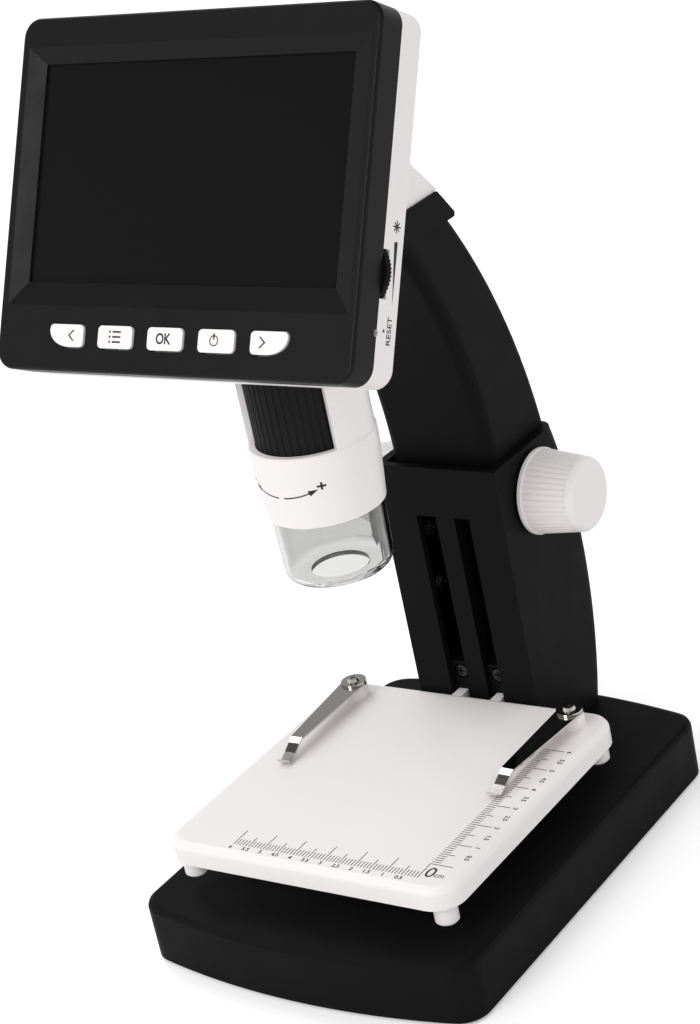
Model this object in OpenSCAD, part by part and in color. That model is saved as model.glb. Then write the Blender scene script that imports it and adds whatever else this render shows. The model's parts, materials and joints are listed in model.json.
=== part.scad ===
// Digital microscope with a tilted display head, a camera barrel that points down,
// a curved arm, a column and a stage that a rack and pinion raises and lowers.
// Millimetres. The origin is on the table, in the middle of the ground that the object covers.
// +X is right, +Y is back and +Z is up.

/* [Base] */
// Width of the base
base_w = 108; // [96:1:130]
// Depth of the base along its middle
base_d = 145; // [140:1:170]
// How far the front and back edges bow outwards
base_bow = 6.5; // [2:0.5:10]
// Radius of the base's corners
base_corner_r = 8; // [5:0.5:12]
// Height of the base's top above the table
base_top_z = 18; // [16:0.5:22]
// Wall of the base shell
base_wall = 2.4; // [1.8:0.1:3]
// Height of the parting line between shell and bottom cover
base_seam_z = 7; // [6:0.5:9]
// Rounding of the base's top edge
base_edge = 1.5; // [0.5:0.1:2]
// Radius of a rubber foot
rubber_foot_r = 6; // [4:0.5:8]
// Thickness of a rubber foot
rubber_foot_t = 2.2; // [1.6:0.1:3]
// Thickness of the steel ballast plate
ballast_t = 4; // [2:0.5:5]

/* [Stage] */
// Width of the stage plate
stage_w = 94.2; // [88:0.1:98]
// Depth of the stage plate
stage_d = 94.1; // [86:0.1:96]
// Thickness of the stage plate
stage_t = 6.6; // [5:0.1:8]
// Radius of the stage's corners
stage_corner_r = 8; // [6:0.5:12]
// Rounding of the stage's top edge
stage_edge_r = 2.2; // [1:0.1:3]
// Height of the stage's top at rest
stage_top_z = 35; // [34.5:0.1:36]
// Gap between the stage and the column's front
stage_gap = 0.6; // [0.4:0.1:2]
// Radius of a stage foot
stage_foot_r = 3.3; // [2.6:0.1:5]
// Height of a stage foot
stage_foot_h = 6.1; // [4:0.1:6.2]
// Width of a tab that joins the stage to its carriage
tab_w = 3.2; // [2.5:0.1:4]
// How far the stage can rise from rest
lift_up = 52; // [20:1:52]
// How far the stage can sink from rest
lift_down = 4; // [2:0.5:4]

/* [Slide clips] */
// Distance of a clip screw from the middle
clip_x = 37; // [33:0.5:38]
// Radius of a clip's round end
clip_eye_r = 3.9; // [3.5:0.1:5.5]
// Thickness of the clip's steel strip
clip_t = 0.6; // [0.4:0.1:0.8]
// Width of the strip at its bend
clip_neck_w = 4.2; // [3:0.1:6]
// Height of the post under a clip
clip_post_h = 4; // [3.5:0.1:5]
// Distance from the screw to the bend
clip_reach = 32.2; // [26:0.5:36]
// Run of the strip that slopes down to the slide
clip_drop_run = 7.7; // [4:0.1:9]

/* [Column] */
// Width of the column
column_w = 40.4; // [38.8:0.2:44]
// Distance from the base's back edge to the column's front
column_set_back = 36.7; // [35.5:0.1:37.5]
// Depth of the column at its foot
column_d = 35.3; // [33.5:0.1:37]
// How far the column's back bulges
column_bulge = 6.8; // [5:0.1:8]
// Height of the column's top
column_top_z = 107.8; // [106:0.2:112]
// Thickness of the column's front and back walls
column_wall = 2.3; // [1.8:0.1:2.4]
// Thickness of the column's side walls
column_side_wall = 2.8; // [2:0.1:3]
// Width of the window in the column's front
window_w = 17.8; // [17:0.1:19]
// Top of the window
window_top_z = 92.5; // [91:0.5:94]
// Width of the guide rail in the middle of the window
rail_w = 6.2; // [4:0.1:7]

/* [Arm] */
// Width of the arm
arm_w = 34.6; // [33:0.1:34.6]
// Wall of the arm
arm_wall = 2.4; // [1.8:0.1:3]
// Height of the arm between column and collar
arm_rise = 72.5; // [68:0.5:78]
// How far the arm's front leans forward over that height
arm_lean_front = 22.9; // [20:0.1:25]
// How far the arm's back leans forward over that height
arm_lean_back = 28; // [25:0.1:30]
// Bulge of the arm's front between column and collar
arm_front_bulge = 5.3; // [4:0.1:7]
// Bulge of the arm's back between column and collar
arm_back_bulge = 4.3; // [3:0.1:6]
// Width of the collar between arm and head
collar_w = 37.2; // [36:0.1:40]
// Height of the collar band
collar_h = 9; // [7:0.5:9]

/* [Lift drive] */
// Height of the knob shaft
shaft_z = 93.3; // [92:0.1:95]
// Radius of the knob shaft
shaft_r = 3; // [2:0.1:3.5]
// Number of teeth on the pinion
pinion_teeth = 12; // [12:1:13]
// Gear module
gear_module = 1; // [1:0.01:1.02]
// Width of the rack
rack_w = 7; // [5:0.5:8]
// Play between the teeth
backlash = 0.2; // [0.1:0.02:0.3]
// Radius of the knob at its foot
knob_r = 12.5; // [11:0.1:14]
// Radius of the knob near its cap
knob_tip_r = 10.6; // [9:0.1:11]
// Length of the knob
knob_len = 16.9; // [12:0.1:20]
// Number of flutes round the knob
knob_flutes = 42; // [24:2:48]

/* [Barrel] */
// Distance from the column's front to the lens axis
lens_set_forward = 49.3; // [48.3:0.1:50.3]
// Outer radius of the barrel
barrel_r = 16.9; // [16.7:0.1:17.1]
// Inner radius of the barrel
barrel_bore_r = 15.2; // [15:0.1:15.5]
// Height of the barrel's lower rim
barrel_rim_z = 120.5; // [119:0.5:122]
// Radius of the barrel's lower rim
barrel_rim_r = 16.05; // [15.9:0.05:16.5]
// Angle of the window that bares the focus ring
barrel_window = 115.4; // [90:1:130]
// Outer radius of the focus ring
focus_r = 14.9; // [14.5:0.1:14.9]
// Number of ribs on the focus ring
focus_ribs = 44; // [24:2:48]
// Travel of the lens for one turn of the focus ring
focus_pitch = 6; // [4:0.5:8]
// Height of the clear shade's lower end
shade_low_z = 101.4; // [98:0.2:106]
// Wall of the clear shade
shade_wall = 1.3; // [1:0.1:1.6]
// Radius of the opening in the shade's floor
shade_hole_r = 8; // [6:0.5:9]

/* [Head] */
// Width of the display head
head_w = 110.6; // [108:0.2:116]
// Length of the display head up its slope
head_len = 89; // [88:0.2:92]
// Angle by which the display leans back
head_tilt = 28.2; // [27.5:0.1:29]
// Radius of the head's corners
head_corner_r = 5; // [3:0.5:7]
// Thickness of the head's walls
head_wall = 2; // [1.6:0.1:2.4]
// Depth of the black bezel
bezel_t = 8.4; // [8:0.1:9]
// Depth of the white rear cover
cover_t = 9.6; // [9.4:0.1:11]
// Rounding of the rear cover's back edge
cover_edge_r = 2.5; // [1:0.1:3]
// Width of the display window
lcd_w = 95.4; // [92:0.2:98]
// Height of the display window
lcd_h = 55.05; // [52:0.05:57]
// Depth of the bevel round the window
bevel_depth = 1.5; // [0.8:0.1:1.6]
// Width of the hump that holds the barrel
hump_w = 35.6; // [35:0.1:36.4]
// Thickness of the display glass
glass_t = 0.8; // [0.5:0.1:1]
// Thickness of the display panel
panel_t = 2.9; // [2:0.1:3]

/* [Buttons and dimmer] */
// Width of a button
button_w = 10.9; // [9.5:0.1:13.4]
// Height of a button
button_h = 5.6; // [4.8:0.1:7]
// Distance between two buttons
button_step = 15.75; // [15.2:0.05:16.2]
// How far a button stands proud
button_proud = 0.55; // [0.4:0.05:1]
// Travel of a button
button_travel = 0.6; // [0.3:0.05:0.6]
// Radius of the dimmer wheel
dimmer_r = 9.3; // [9:0.1:9.8]
// Thickness of the dimmer wheel
dimmer_t = 1.9; // [1.6:0.1:2.6]

/* [Hidden] */
$fn = 64;

// Finishes
black_abs = [0.09, 0.09, 0.09];
white_abs = [0.93, 0.92, 0.92];
dark_rubber = [0.13, 0.13, 0.13];
steel = [0.72, 0.72, 0.74];
brass = [0.78, 0.62, 0.30];
board_green = [0.10, 0.34, 0.20];
smoke_glass = [0.20, 0.20, 0.23];
clear = [0.82, 0.86, 0.88, 0.45];

// Clearances
eps = 0.01;
slide_gap = 0.3;
running_gap = 0.05;
press_gap = 0.02;
seat_gap = 0.1;

// Screws
screw_r = 1.1;
screw_head_r = 2.4;
screw_head_h = 1.5;
boss_r = 3.2;
clip_screw_r = 1.2;
clip_washer_r = clip_eye_r - 0.1;
clip_washer_t = 0.7;
clip_head_r = 1.9;
clip_head_h = 0.9;

// Points along an arc about a centre
function arc(c, r, a0, a1, n) = [for (i = [0:n]) let (a = a0 + (a1 - a0) * i / n)
    [c[0] + r * cos(a), c[1] + r * sin(a)]];
// Radius of an arc from its chord and its bulge
function bulge_r(chord, bulge) = (chord * chord / 4 + bulge * bulge) / (2 * bulge);
// Centre of the arc from p to q that bulges to the right of that direction
function bulge_c(p, q, bulge) = let (d = q - p, l = norm(d), n = [d[1], -d[0]] / l)
    (p + q) / 2 + n * (bulge - bulge_r(l, bulge));
function flip(p) = [for (i = [len(p) - 1:-1:0]) [p[i][0], -p[i][1]]];

// The ground covered runs from the base's front to the column's bulge, and the origin halves it
base_y = (column_set_back - column_d - column_bulge) / 2;
column_front_y = base_y + base_d / 2 - column_set_back;
lens_y = column_front_y - lens_set_forward;

// Outline with straight sides, and front and back edges that bow outwards
function bowed(w, d, bow, r) = let (R = bulge_r(w, bow), cy = d / 2 - R, cx = w / 2 - r,
    ry = sqrt((R - r) * (R - r) - cx * cx), a = atan2(ry, cx),
    back = concat(arc([cx, cy + ry], r, 0, a, 8), arc([0, cy], R, a, 180 - a, 24),
        arc([-cx, cy + ry], r, 180 - a, 180, 8)))
    concat(back, flip(back));
module bowed_block(inset, z0, z1) {
    translate([0, base_y, z0]) linear_extrude(z1 - z0)
        polygon(bowed(base_w - 2 * inset, base_d - 2 * inset, base_bow, max(base_corner_r - inset, 1)));
}

// Rounded rectangle, centred
module round_rect(w, h, r) {
    square([w, h - 2 * r], center = true);
    square([w - 2 * r, h], center = true);
    for (x = [-1, 1], y = [-1, 1]) translate([x * (w / 2 - r), y * (h / 2 - r)]) circle(r);
}
// Section of a bar whose two upper corners are rounded, from z = 0 to t
module soft_section(w, t, e) {
    translate([-w / 2, 0]) square([w, t - e]);
    translate([-w / 2 + e, 0]) square([w - 2 * e, t]);
    for (x = [-1, 1]) translate([x * (w / 2 - e), t - e]) circle(e);
}
// Plate with round corners and a rounded top edge, centred on its underside
module soft_plate(w, d, t, r, e) {
    translate([0, d / 2 - r, 0]) rotate([90, 0, 0]) linear_extrude(d - 2 * r) soft_section(w, t, e);
    translate([-w / 2 + r, 0, 0]) rotate([90, 0, 90]) linear_extrude(w - 2 * r) soft_section(d, t, e);
    for (x = [-1, 1], y = [-1, 1]) translate([x * (w / 2 - r), y * (d / 2 - r), 0])
        rotate_extrude() intersection() {
            soft_section(2 * r, t, e);
            square([r, t]);
        }
}
// Cylinder from one point along +X
module rod_x(p, r, l) {
    translate(p) rotate([0, 90, 0]) cylinder(r = r, h = l);
}
// Pan head with its shank below it, the head's underside at z = 0
module pan_screw(r, l, head_r, head_h) {
    translate([0, 0, -l]) cylinder(r = r, h = l + eps);
    difference() {
        cylinder(r1 = head_r, r2 = head_r * 0.8, h = head_h);
        for (a = [0, 90]) rotate(a) translate([-head_r * 0.5, -head_r * 0.1, head_h * 0.5])
            cube([head_r, head_r * 0.2, head_h]);
    }
}

// Base
base_screw_in = [11, 34];
rubber_foot_in = [14, 21];
// Four points set in from the base's edges by d
function base_corners(d) = [for (x = [-1, 1], y = [-1, 1]) [x * (base_w / 2 - d[0]),
    base_y + y * (base_d / 2 - d[1])]];
base_screw_at = base_corners(base_screw_in);
rubber_foot_at = base_corners(rubber_foot_in);
base_floor_z = 1;
base_floor_t = 2;
foot_recess = rubber_foot_t - base_floor_z;
base_roof_z = base_top_z - base_wall;
column_back_y = column_front_y + column_d;
column_floor_t = 3;
column_screw_x = 10;
column_screw_in = [16.2, 6.1];
column_screw_len = 10;
column_boss_h = 12;
column_screw_at = [for (x = [-1, 1],
    y = [column_front_y + column_screw_in[0], column_back_y - column_screw_in[1]])
    [x * column_screw_x, y]];

module base_shell() {
    color(black_abs) difference() {
        union() {
            bowed_block(0, base_seam_z, base_top_z - base_edge);
            hull() {
                bowed_block(0, base_top_z - base_edge - eps, base_top_z - base_edge);
                bowed_block(0.3 * base_edge, base_top_z - base_edge, base_top_z - 0.3 * base_edge);
                bowed_block(base_edge, base_top_z - base_edge, base_top_z);
            }
        }
        difference() {
            bowed_block(base_wall, base_seam_z - 1, base_roof_z);
            for (p = base_screw_at) translate([p[0], p[1], base_seam_z])
                cylinder(r = boss_r + 0.6, h = base_top_z);
        }
        for (p = base_screw_at) translate([p[0], p[1], base_seam_z - 1])
            cylinder(r = screw_r - press_gap, h = base_roof_z - base_seam_z);
        for (p = column_screw_at) translate([p[0], p[1], base_roof_z - 1])
            cylinder(r = screw_r + seat_gap, h = base_wall + 2);
    }
}
module base_cover() {
    color(black_abs) difference() {
        union() {
            bowed_block(0, base_floor_z, base_seam_z);
            difference() {
                bowed_block(base_wall + seat_gap, base_seam_z - 1, base_seam_z + 2);
                bowed_block(2 * base_wall, base_seam_z - 2, base_seam_z + 3);
                for (p = base_screw_at) translate([p[0], p[1], base_seam_z])
                    cylinder(r = boss_r + 0.7, h = 4);
            }
        }
        difference() {
            bowed_block(2 * base_wall, base_floor_z + base_floor_t, base_seam_z + 1);
            for (p = base_screw_at) translate([p[0], p[1], base_floor_z])
                cylinder(r = boss_r + 0.6, h = base_seam_z - base_floor_z);
        }
        for (p = base_screw_at) translate([p[0], p[1], 0]) {
            cylinder(r = screw_r + seat_gap, h = base_seam_z + 1);
            cylinder(r = screw_head_r + seat_gap, h = base_floor_z + screw_head_h + 1);
        }
        for (p = rubber_foot_at) translate([p[0], p[1], 0])
            cylinder(r = rubber_foot_r + seat_gap, h = base_floor_z + foot_recess);
    }
}
module rubber_feet() {
    bevel = 0.6;
    color(dark_rubber) for (p = rubber_foot_at) translate([p[0], p[1], 0]) {
        cylinder(r1 = rubber_foot_r - bevel, r2 = rubber_foot_r, h = bevel);
        translate([0, 0, bevel]) cylinder(r = rubber_foot_r, h = rubber_foot_t - bevel);
    }
}
module base_screws() {
    color(steel) for (p = base_screw_at) translate([p[0], p[1], base_floor_z + screw_head_h + 1])
        rotate([180, 0, 0]) pan_screw(screw_r - press_gap, base_roof_z - base_floor_z - screw_head_h - 3,
            screw_head_r, screw_head_h);
}
ballast_in = [3, 6];
module ballast_plate() {
    color(steel) difference() {
        translate([0, base_y, base_floor_z + base_floor_t]) linear_extrude(ballast_t)
            round_rect(base_w - 4 * base_wall - 2 * ballast_in[0],
                base_d - 2 * base_bow - 4 * base_wall - 2 * ballast_in[1], 6);
        for (p = base_screw_at) translate([p[0], p[1], 0]) cylinder(r = boss_r + 1.2, h = base_top_z);
    }
}
module column_screws() {
    color(steel) for (p = column_screw_at) translate([p[0], p[1], base_roof_z])
        rotate([180, 0, 0]) pan_screw(screw_r - press_gap, column_screw_len, screw_head_r, screw_head_h);
}

// Bar turned about an axis along X through c, its rounded side out at radius r
module turned_out(c, r, w, t, e) {
    translate([0, c[0], c[1]]) rotate([0, 90, 0]) rotate_extrude($fn = 360)
        translate([r - t, 0]) rotate(-90) soft_section(w, t, e);
}
// The same with its rounded side in
module turned_in(c, r, w, t, e) {
    translate([0, c[0], c[1]]) rotate([0, 90, 0]) rotate_extrude($fn = 360)
        translate([r + t, 0]) rotate(90) soft_section(w, t, e);
}
// Slab between two heights
module slab(z0, z1) {
    translate([-100, -150, z0]) cube([200, 300, z1 - z0]);
}
// Half of what follows, on the side of sx
module half(sx) {
    intersection() {
        children();
        translate([sx > 0 ? 0 : -100, -150, -10]) cube([100, 300, 300]);
    }
}

// Column
column_back_edge_r = 5;
column_r = bulge_r(column_top_z - base_top_z, column_bulge);
column_c = [column_back_y + column_bulge - column_r, (base_top_z + column_top_z) / 2];
column_inner_y = column_front_y + column_wall;
cavity_w = column_w - 2 * column_side_wall;
window_low_z = base_top_z + column_floor_t;
module column_form(w, front, r, z0, z1, e) {
    intersection() {
        turned_out(column_c, r, w, column_d + column_bulge + 20, e);
        translate([-w / 2, front, z0]) cube([w, column_d + column_bulge + 20, z1 - z0]);
    }
}
module column_cavity(gap) {
    column_form(cavity_w - 2 * gap, column_inner_y + gap, column_r - column_wall - gap,
        base_top_z + column_floor_t, column_top_z + 10, column_back_edge_r - column_wall);
}
half_screw_at = [[column_back_y - 9, base_top_z + 27], [column_back_y - 6, column_top_z - 29.8]];
module column_shell() {
    difference() {
        union() {
            difference() {
                column_form(column_w, column_front_y, column_r, base_top_z, column_top_z,
                    column_back_edge_r);
                column_cavity(0);
            }
            for (p = column_screw_at) translate([p[0], p[1], base_top_z])
                cylinder(r = boss_r, h = column_boss_h);
            for (p = half_screw_at) rod_x([-cavity_w / 2 - 1, p[0], p[1]], boss_r, cavity_w + 2);
        }
        translate([-window_w / 2, column_front_y - 5, window_low_z])
            cube([window_w, 5 + column_wall + eps, window_top_z - window_low_z]);
        for (p = column_screw_at) translate([p[0], p[1], base_top_z - 1])
            cylinder(r = screw_r - press_gap, h = column_boss_h - 1);
        for (p = half_screw_at) {
            rod_x([-column_w / 2 - 1, p[0], p[1]], screw_head_r + seat_gap, screw_head_h + 1.7);
            rod_x([-column_w / 2, p[0], p[1]], screw_r + seat_gap, column_w / 2);
            rod_x([-eps, p[0], p[1]], screw_r - press_gap, cavity_w / 2 - 2);
        }
        rod_x([-column_w / 2 - 1, shaft_y, shaft_z], bush_r + press_gap, column_w + 2);
        for (x = [-1, 1], z = guide_screw_z) rod_x([x > 0 ? cavity_w / 2 - 1 : -cavity_w / 2 - 1.9,
            guide_screw_y, z], screw_r - press_gap, 2.9);
        for (x = [-1, 1], z = rail_screw_z) translate([x * rail_screw_x, column_inner_y + 1, z])
            rotate([90, 0, 0]) cylinder(r = screw_r - press_gap, h = 2.4);
        for (x = [-1, 1]) rod_x([x > 0 ? cavity_w / 2 - 1 : -cavity_w / 2 - 1.9, arm_screw_y, arm_screw_z],
            screw_r - press_gap, 2.9);
    }
}
module column_left() { color(black_abs) half(-1) column_shell(); }
module column_right() { color(black_abs) half(1) column_shell(); }
module column_half_screws() {
    color(steel) for (p = half_screw_at) translate([-column_w / 2 + screw_head_h + 0.7, p[0], p[1]])
        rotate([0, -90, 0]) pan_screw(screw_r - press_gap, column_w / 2 + 4, screw_head_r, screw_head_h);
}

// Rail in the window, which the carriage slides on
carriage_gap = 0.5;
rail_front_y = column_front_y + 1;
rail_back_y = column_inner_y + 2.9;
rail_head_z = column_top_z - 10.8;
rail_head_w = 24;
rail_head_t = 2;
rail_head_h = 5;
rail_screw_z = [rail_head_z + rail_head_h / 2];
rail_screw_x = 9;
module guide_rail() {
    color(black_abs) difference() {
        union() {
            translate([-rail_w / 2, rail_front_y, window_low_z])
                cube([rail_w, rail_back_y - rail_front_y, window_top_z - window_low_z]);
            translate([-rail_w / 2, column_inner_y, window_low_z])
                cube([rail_w, rail_back_y - column_inner_y, rail_head_z - window_low_z]);
            translate([-rail_head_w / 2, column_inner_y, rail_head_z])
                cube([rail_head_w, rail_head_t, rail_head_h]);
        }
        for (x = [-1, 1], z = rail_screw_z)
            translate([x * rail_screw_x, column_inner_y + rail_head_t + 1, z])
            rotate([90, 0, 0]) cylinder(r = screw_r + seat_gap, h = rail_head_t + 2);
    }
}

// Steel bars at the sides that keep the carriage straight
guide_w = 3;
guide_y = rail_back_y;
guide_d = 10;
guide_top_z = shaft_z - 7.3;
guide_screw_y = guide_y + 7;
guide_screw_z = [guide_top_z - 21.5, guide_top_z - 3.7];
guide_x = cavity_w / 2 - guide_w;
module guide_bars() {
    color(dark_rubber) for (x = [-1, 1]) difference() {
        translate([x > 0 ? guide_x : -guide_x - guide_w, guide_y, window_low_z])
            cube([guide_w, guide_d, guide_top_z - window_low_z]);
        for (z = guide_screw_z)
            rod_x([x > 0 ? guide_x - 1 : -guide_x - guide_w - 1, guide_screw_y, z], screw_r + seat_gap,
                guide_w + 2);
    }
}
module guide_screws() {
    color(steel) {
        for (x = [-1, 1], z = guide_screw_z) translate([x * guide_x, guide_screw_y, z])
            rotate([0, -x * 90, 0])
                pan_screw(screw_r - press_gap, guide_w + 1.7, screw_head_r, screw_head_h);
        for (x = [-1, 1], z = rail_screw_z) translate([x * rail_screw_x, column_inner_y + rail_head_t, z])
            rotate([-90, 0, 0]) pan_screw(screw_r - press_gap, 3.2, screw_head_r, screw_head_h);
    }
}

// Arm
arm_low_z = rail_head_z - 1;
collar_z = column_top_z + arm_rise;
arm_top_z = collar_z + collar_h + 7;
arm_front_y = column_inner_y + 2.4;
arm_back_y = column_back_y - 0.7;
arm_front_edge_r = 3.5;
arm_back_edge_r = 2.5;
tongue_in = 3;
tongue_wall = 2;
arm_front_from = [arm_front_y, column_top_z];
arm_front_to = [arm_front_y - arm_lean_front, collar_z];
arm_back_from = [arm_back_y, column_top_z];
arm_back_to = [arm_back_y - arm_lean_back, collar_z];
arm_front_r = bulge_r(norm(arm_front_to - arm_front_from), arm_front_bulge);
arm_front_c = bulge_c(arm_front_from, arm_front_to, arm_front_bulge);
arm_back_r = bulge_r(norm(arm_back_to - arm_back_from), arm_back_bulge);
arm_back_c = bulge_c(arm_back_from, arm_back_to, arm_back_bulge);
function arm_y(c, r, z) = c[0] + sqrt(r * r - (z - c[1]) * (z - c[1]));
module arm_form(inset, z0, z1) {
    intersection() {
        turned_out(arm_back_c, arm_back_r - inset, arm_w - 2 * inset, 70,
            max(arm_back_edge_r - inset, 0.5));
        turned_in(arm_front_c, arm_front_r + inset, arm_w - 2 * inset, 70,
            max(arm_front_edge_r - inset, 0.5));
        slab(z0, z1);
    }
}
arm_screw_y = arm_back_y - 6.9;
arm_screw_z = arm_low_z + 6;
neck_screw_z = collar_z + collar_h + 3.5;
neck_screw_y = (arm_y(arm_front_c, arm_front_r, neck_screw_z)
    + arm_y(arm_back_c, arm_back_r, neck_screw_z)) / 2;
neck_pad_x = arm_w / 2 - tongue_in + running_gap;
neck_pad_r = 4;
neck_thread = 2.8;
module arm_shell() {
    difference() {
        union() {
            arm_form(0, column_top_z, collar_z);
            arm_form(tongue_in, collar_z - 2, arm_top_z);
            intersection() {
                arm_form(0, arm_low_z, column_top_z + eps);
                column_cavity(2 * seat_gap);
            }
        }
        difference() {
            arm_form(arm_wall, column_top_z, collar_z - 2);
            for (p = arm_boss_at) rod_x([-arm_w / 2, p[0], p[1]], boss_r, arm_w);
        }
        intersection() {
            arm_form(arm_wall, arm_low_z - 1, column_top_z + eps);
            column_cavity(arm_wall);
        }
        arm_form(tongue_in + tongue_wall, collar_z - 3, arm_top_z + 1);
        translate([-rail_head_w / 2 - 1, column_inner_y - 1, arm_low_z - 1])
            cube([rail_head_w + 2, rail_back_y + 2.6 - column_inner_y, rail_head_h + 3]);
        for (p = arm_boss_at) {
            rod_x([-arm_w / 2 - 1, p[0], p[1]], screw_head_r + seat_gap, screw_head_h + 1.4);
            rod_x([-arm_w / 2, p[0], p[1]], screw_r + seat_gap, arm_w / 2);
            rod_x([-eps, p[0], p[1]], screw_r - press_gap, arm_w / 2 - 3);
        }
        rod_x([-arm_w / 2 - 1, shaft_y, shaft_z], bush_flange_r + slide_gap, arm_w + 2);
        rod_x([-arm_w / 2 - 1, arm_screw_y, arm_screw_z], screw_r + seat_gap, arm_w + 2);
        rod_x([-arm_w / 2, neck_screw_y, neck_screw_z], screw_r + seat_gap, arm_w);
    }
}
arm_boss_at = [for (z = [arm_top_z - 71, arm_top_z - 38]) [arm_y(arm_back_c, arm_back_r, z) - 5.2, z]];
module arm_left() { color(black_abs) half(-1) arm_shell(); }
module arm_right() { color(black_abs) half(1) arm_shell(); }
module arm_screws() {
    color(steel) {
        for (p = arm_boss_at) translate([-arm_w / 2 + screw_head_h + 0.4, p[0], p[1]])
            rotate([0, -90, 0]) pan_screw(screw_r - press_gap, arm_w / 2 + 8, screw_head_r, screw_head_h);
        for (x = [-1, 1]) {
            translate([x * (cavity_w / 2 - seat_gap - arm_wall), arm_screw_y, arm_screw_z])
                rotate([0, -x * 90, 0])
                    pan_screw(screw_r - press_gap, arm_wall + 1.8, screw_head_r, screw_head_h);
            translate([x * (arm_w / 2 - tongue_in - tongue_wall), neck_screw_y, neck_screw_z])
                rotate([0, -x * 90, 0])
                    pan_screw(screw_r - press_gap, tongue_wall + neck_thread - 0.2, screw_head_r,
                        screw_head_h);
        }
    }
}
collar_top_z = collar_z + collar_h;
collar_out = [[arm_y(arm_front_c, arm_front_r, collar_z) - 0.3, collar_z],
    [arm_y(arm_back_c, arm_back_r, collar_z) + 0.5, collar_z],
    [arm_y(arm_back_c, arm_back_r, collar_z) + 0.9, collar_z + 1.2],
    [arm_y(arm_back_c, arm_back_r, collar_top_z) + 1.1, collar_top_z],
    [arm_y(arm_front_c, arm_front_r, collar_top_z) + 1.3, collar_top_z]];
// Outline in Y and Z extruded to a width along X, centred
module side_block(w, pts) {
    translate([-w / 2, 0, 0]) rotate([90, 0, 90]) linear_extrude(w) polygon(pts);
}
module arm_collar() {
    color(black_abs) difference() {
        side_block(collar_w, collar_out);
        arm_form(tongue_in - seat_gap, collar_z - 1, collar_top_z + 1);
    }
}

// Stage
stage_low_z = stage_top_z - stage_t;
stage_back_y = column_front_y - stage_gap;
stage_y = stage_back_y - stage_d / 2;
tab_x = 6.6;
tab_low_z = stage_low_z;
tab_sink = 0.3;
tab_root = stage_edge_r + 4;
tab_h = stage_t - tab_sink;
tab_end_y = rail_back_y;
tab_screw_z = tab_low_z + tab_h / 2;
stage_foot_in = 5.6;
stage_foot_at = [for (x = [-1, 1], y = [-1, 1]) [x * (stage_w / 2 - stage_foot_in),
    stage_y + y * (stage_d / 2 - stage_foot_in)]];
clip_from_back = 8.9;
clip_y = stage_back_y - clip_from_back;
clip_hole = 5;
clip_turn = 2.6;
clip_bend_run = 2.3;
clip_bend_drop = 0.8;
clip_low_z = stage_top_z + clip_post_h + running_gap;
clip_tip_z = stage_top_z + slide_gap;
module stage_plate() {
    color(white_abs) difference() {
        union() {
            translate([0, stage_y, stage_low_z])
                soft_plate(stage_w, stage_d, stage_t, stage_corner_r, stage_edge_r);
            for (x = [-1, 1]) translate([x * tab_x - tab_w / 2, stage_back_y - tab_root, tab_low_z])
                cube([tab_w, tab_end_y - stage_back_y + tab_root, tab_h]);
        }
        for (x = [-1, 1]) {
            translate([x * clip_x, clip_y, stage_top_z - clip_hole])
                cylinder(r = clip_screw_r - press_gap, h = clip_hole + 1);
            translate([x * tab_x, tab_end_y + 1, tab_screw_z]) rotate([90, 0, 0])
                cylinder(r = screw_r - press_gap, h = 8);
        }
    }
}
module stage_feet() {
    color(white_abs) for (p = stage_foot_at) translate([p[0], p[1], stage_low_z - stage_foot_h]) {
        cylinder(r1 = stage_foot_r - 0.7, r2 = stage_foot_r, h = 0.7);
        translate([0, 0, 0.7]) cylinder(r = stage_foot_r, h = stage_foot_h - 0.7);
    }
}
module clip_posts() {
    color(white_abs) for (x = [-1, 1]) translate([x * clip_x, clip_y, stage_top_z]) difference() {
        cylinder(r = clip_eye_r, h = clip_post_h);
        translate([0, 0, -1]) cylinder(r = clip_screw_r - press_gap, h = clip_post_h + 2);
    }
}
// Spring strip with its round eye at the origin, reaching towards -Y
module slide_clip() {
    drop = clip_low_z - clip_tip_z;
    tip_y = -clip_reach - clip_drop_run;
    bend_y = -clip_reach - clip_bend_run;
    bends = [[-clip_reach - 0.3, 0], [bend_y, clip_bend_drop],
        [(bend_y + tip_y) / 2, (clip_bend_drop + drop) / 2 + 0.12], [tip_y, drop]];
    difference() {
        union() {
            cylinder(r = clip_eye_r, h = clip_t);
            linear_extrude(clip_t)
                polygon([[clip_eye_r, 0], [clip_neck_w / 2, -clip_reach], [-clip_neck_w / 2, -clip_reach],
                    [-clip_eye_r, 0]]);
            side_block(clip_neck_w - 0.6, concat([[-clip_reach + 0.4, 0]],
                [for (p = bends) [p[0] + 0.2, -p[1]]],
                [[tip_y - 0.2, -drop], [tip_y - 1.6, clip_t - drop + 0.7], [tip_y - 1.4, clip_t - drop + 1.2]],
                [for (i = [3:-1:0]) [bends[i][0], clip_t - bends[i][1]]], [[-clip_reach + 0.4, clip_t]]));
        }
        translate([0, 0, -1]) cylinder(r = clip_screw_r + running_gap, h = clip_t + 2);
    }
}
module clip_left() {
    color(steel) translate([-clip_x, clip_y, clip_low_z]) rotate([0, 0, clip_turn]) slide_clip();
}
module clip_right() {
    color(steel) translate([clip_x, clip_y, clip_low_z]) rotate([0, 0, -clip_turn]) slide_clip();
}
module clip_screws() {
    washer_z = clip_low_z + clip_t + running_gap;
    color(steel) for (x = [-1, 1]) translate([x * clip_x, clip_y, washer_z]) {
        cylinder(r = clip_washer_r, h = clip_washer_t);
        translate([0, 0, clip_washer_t])
            pan_screw(clip_screw_r - press_gap, washer_z + clip_washer_t - stage_top_z + clip_hole - 0.8,
                clip_head_r, clip_head_h);
    }
}

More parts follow.
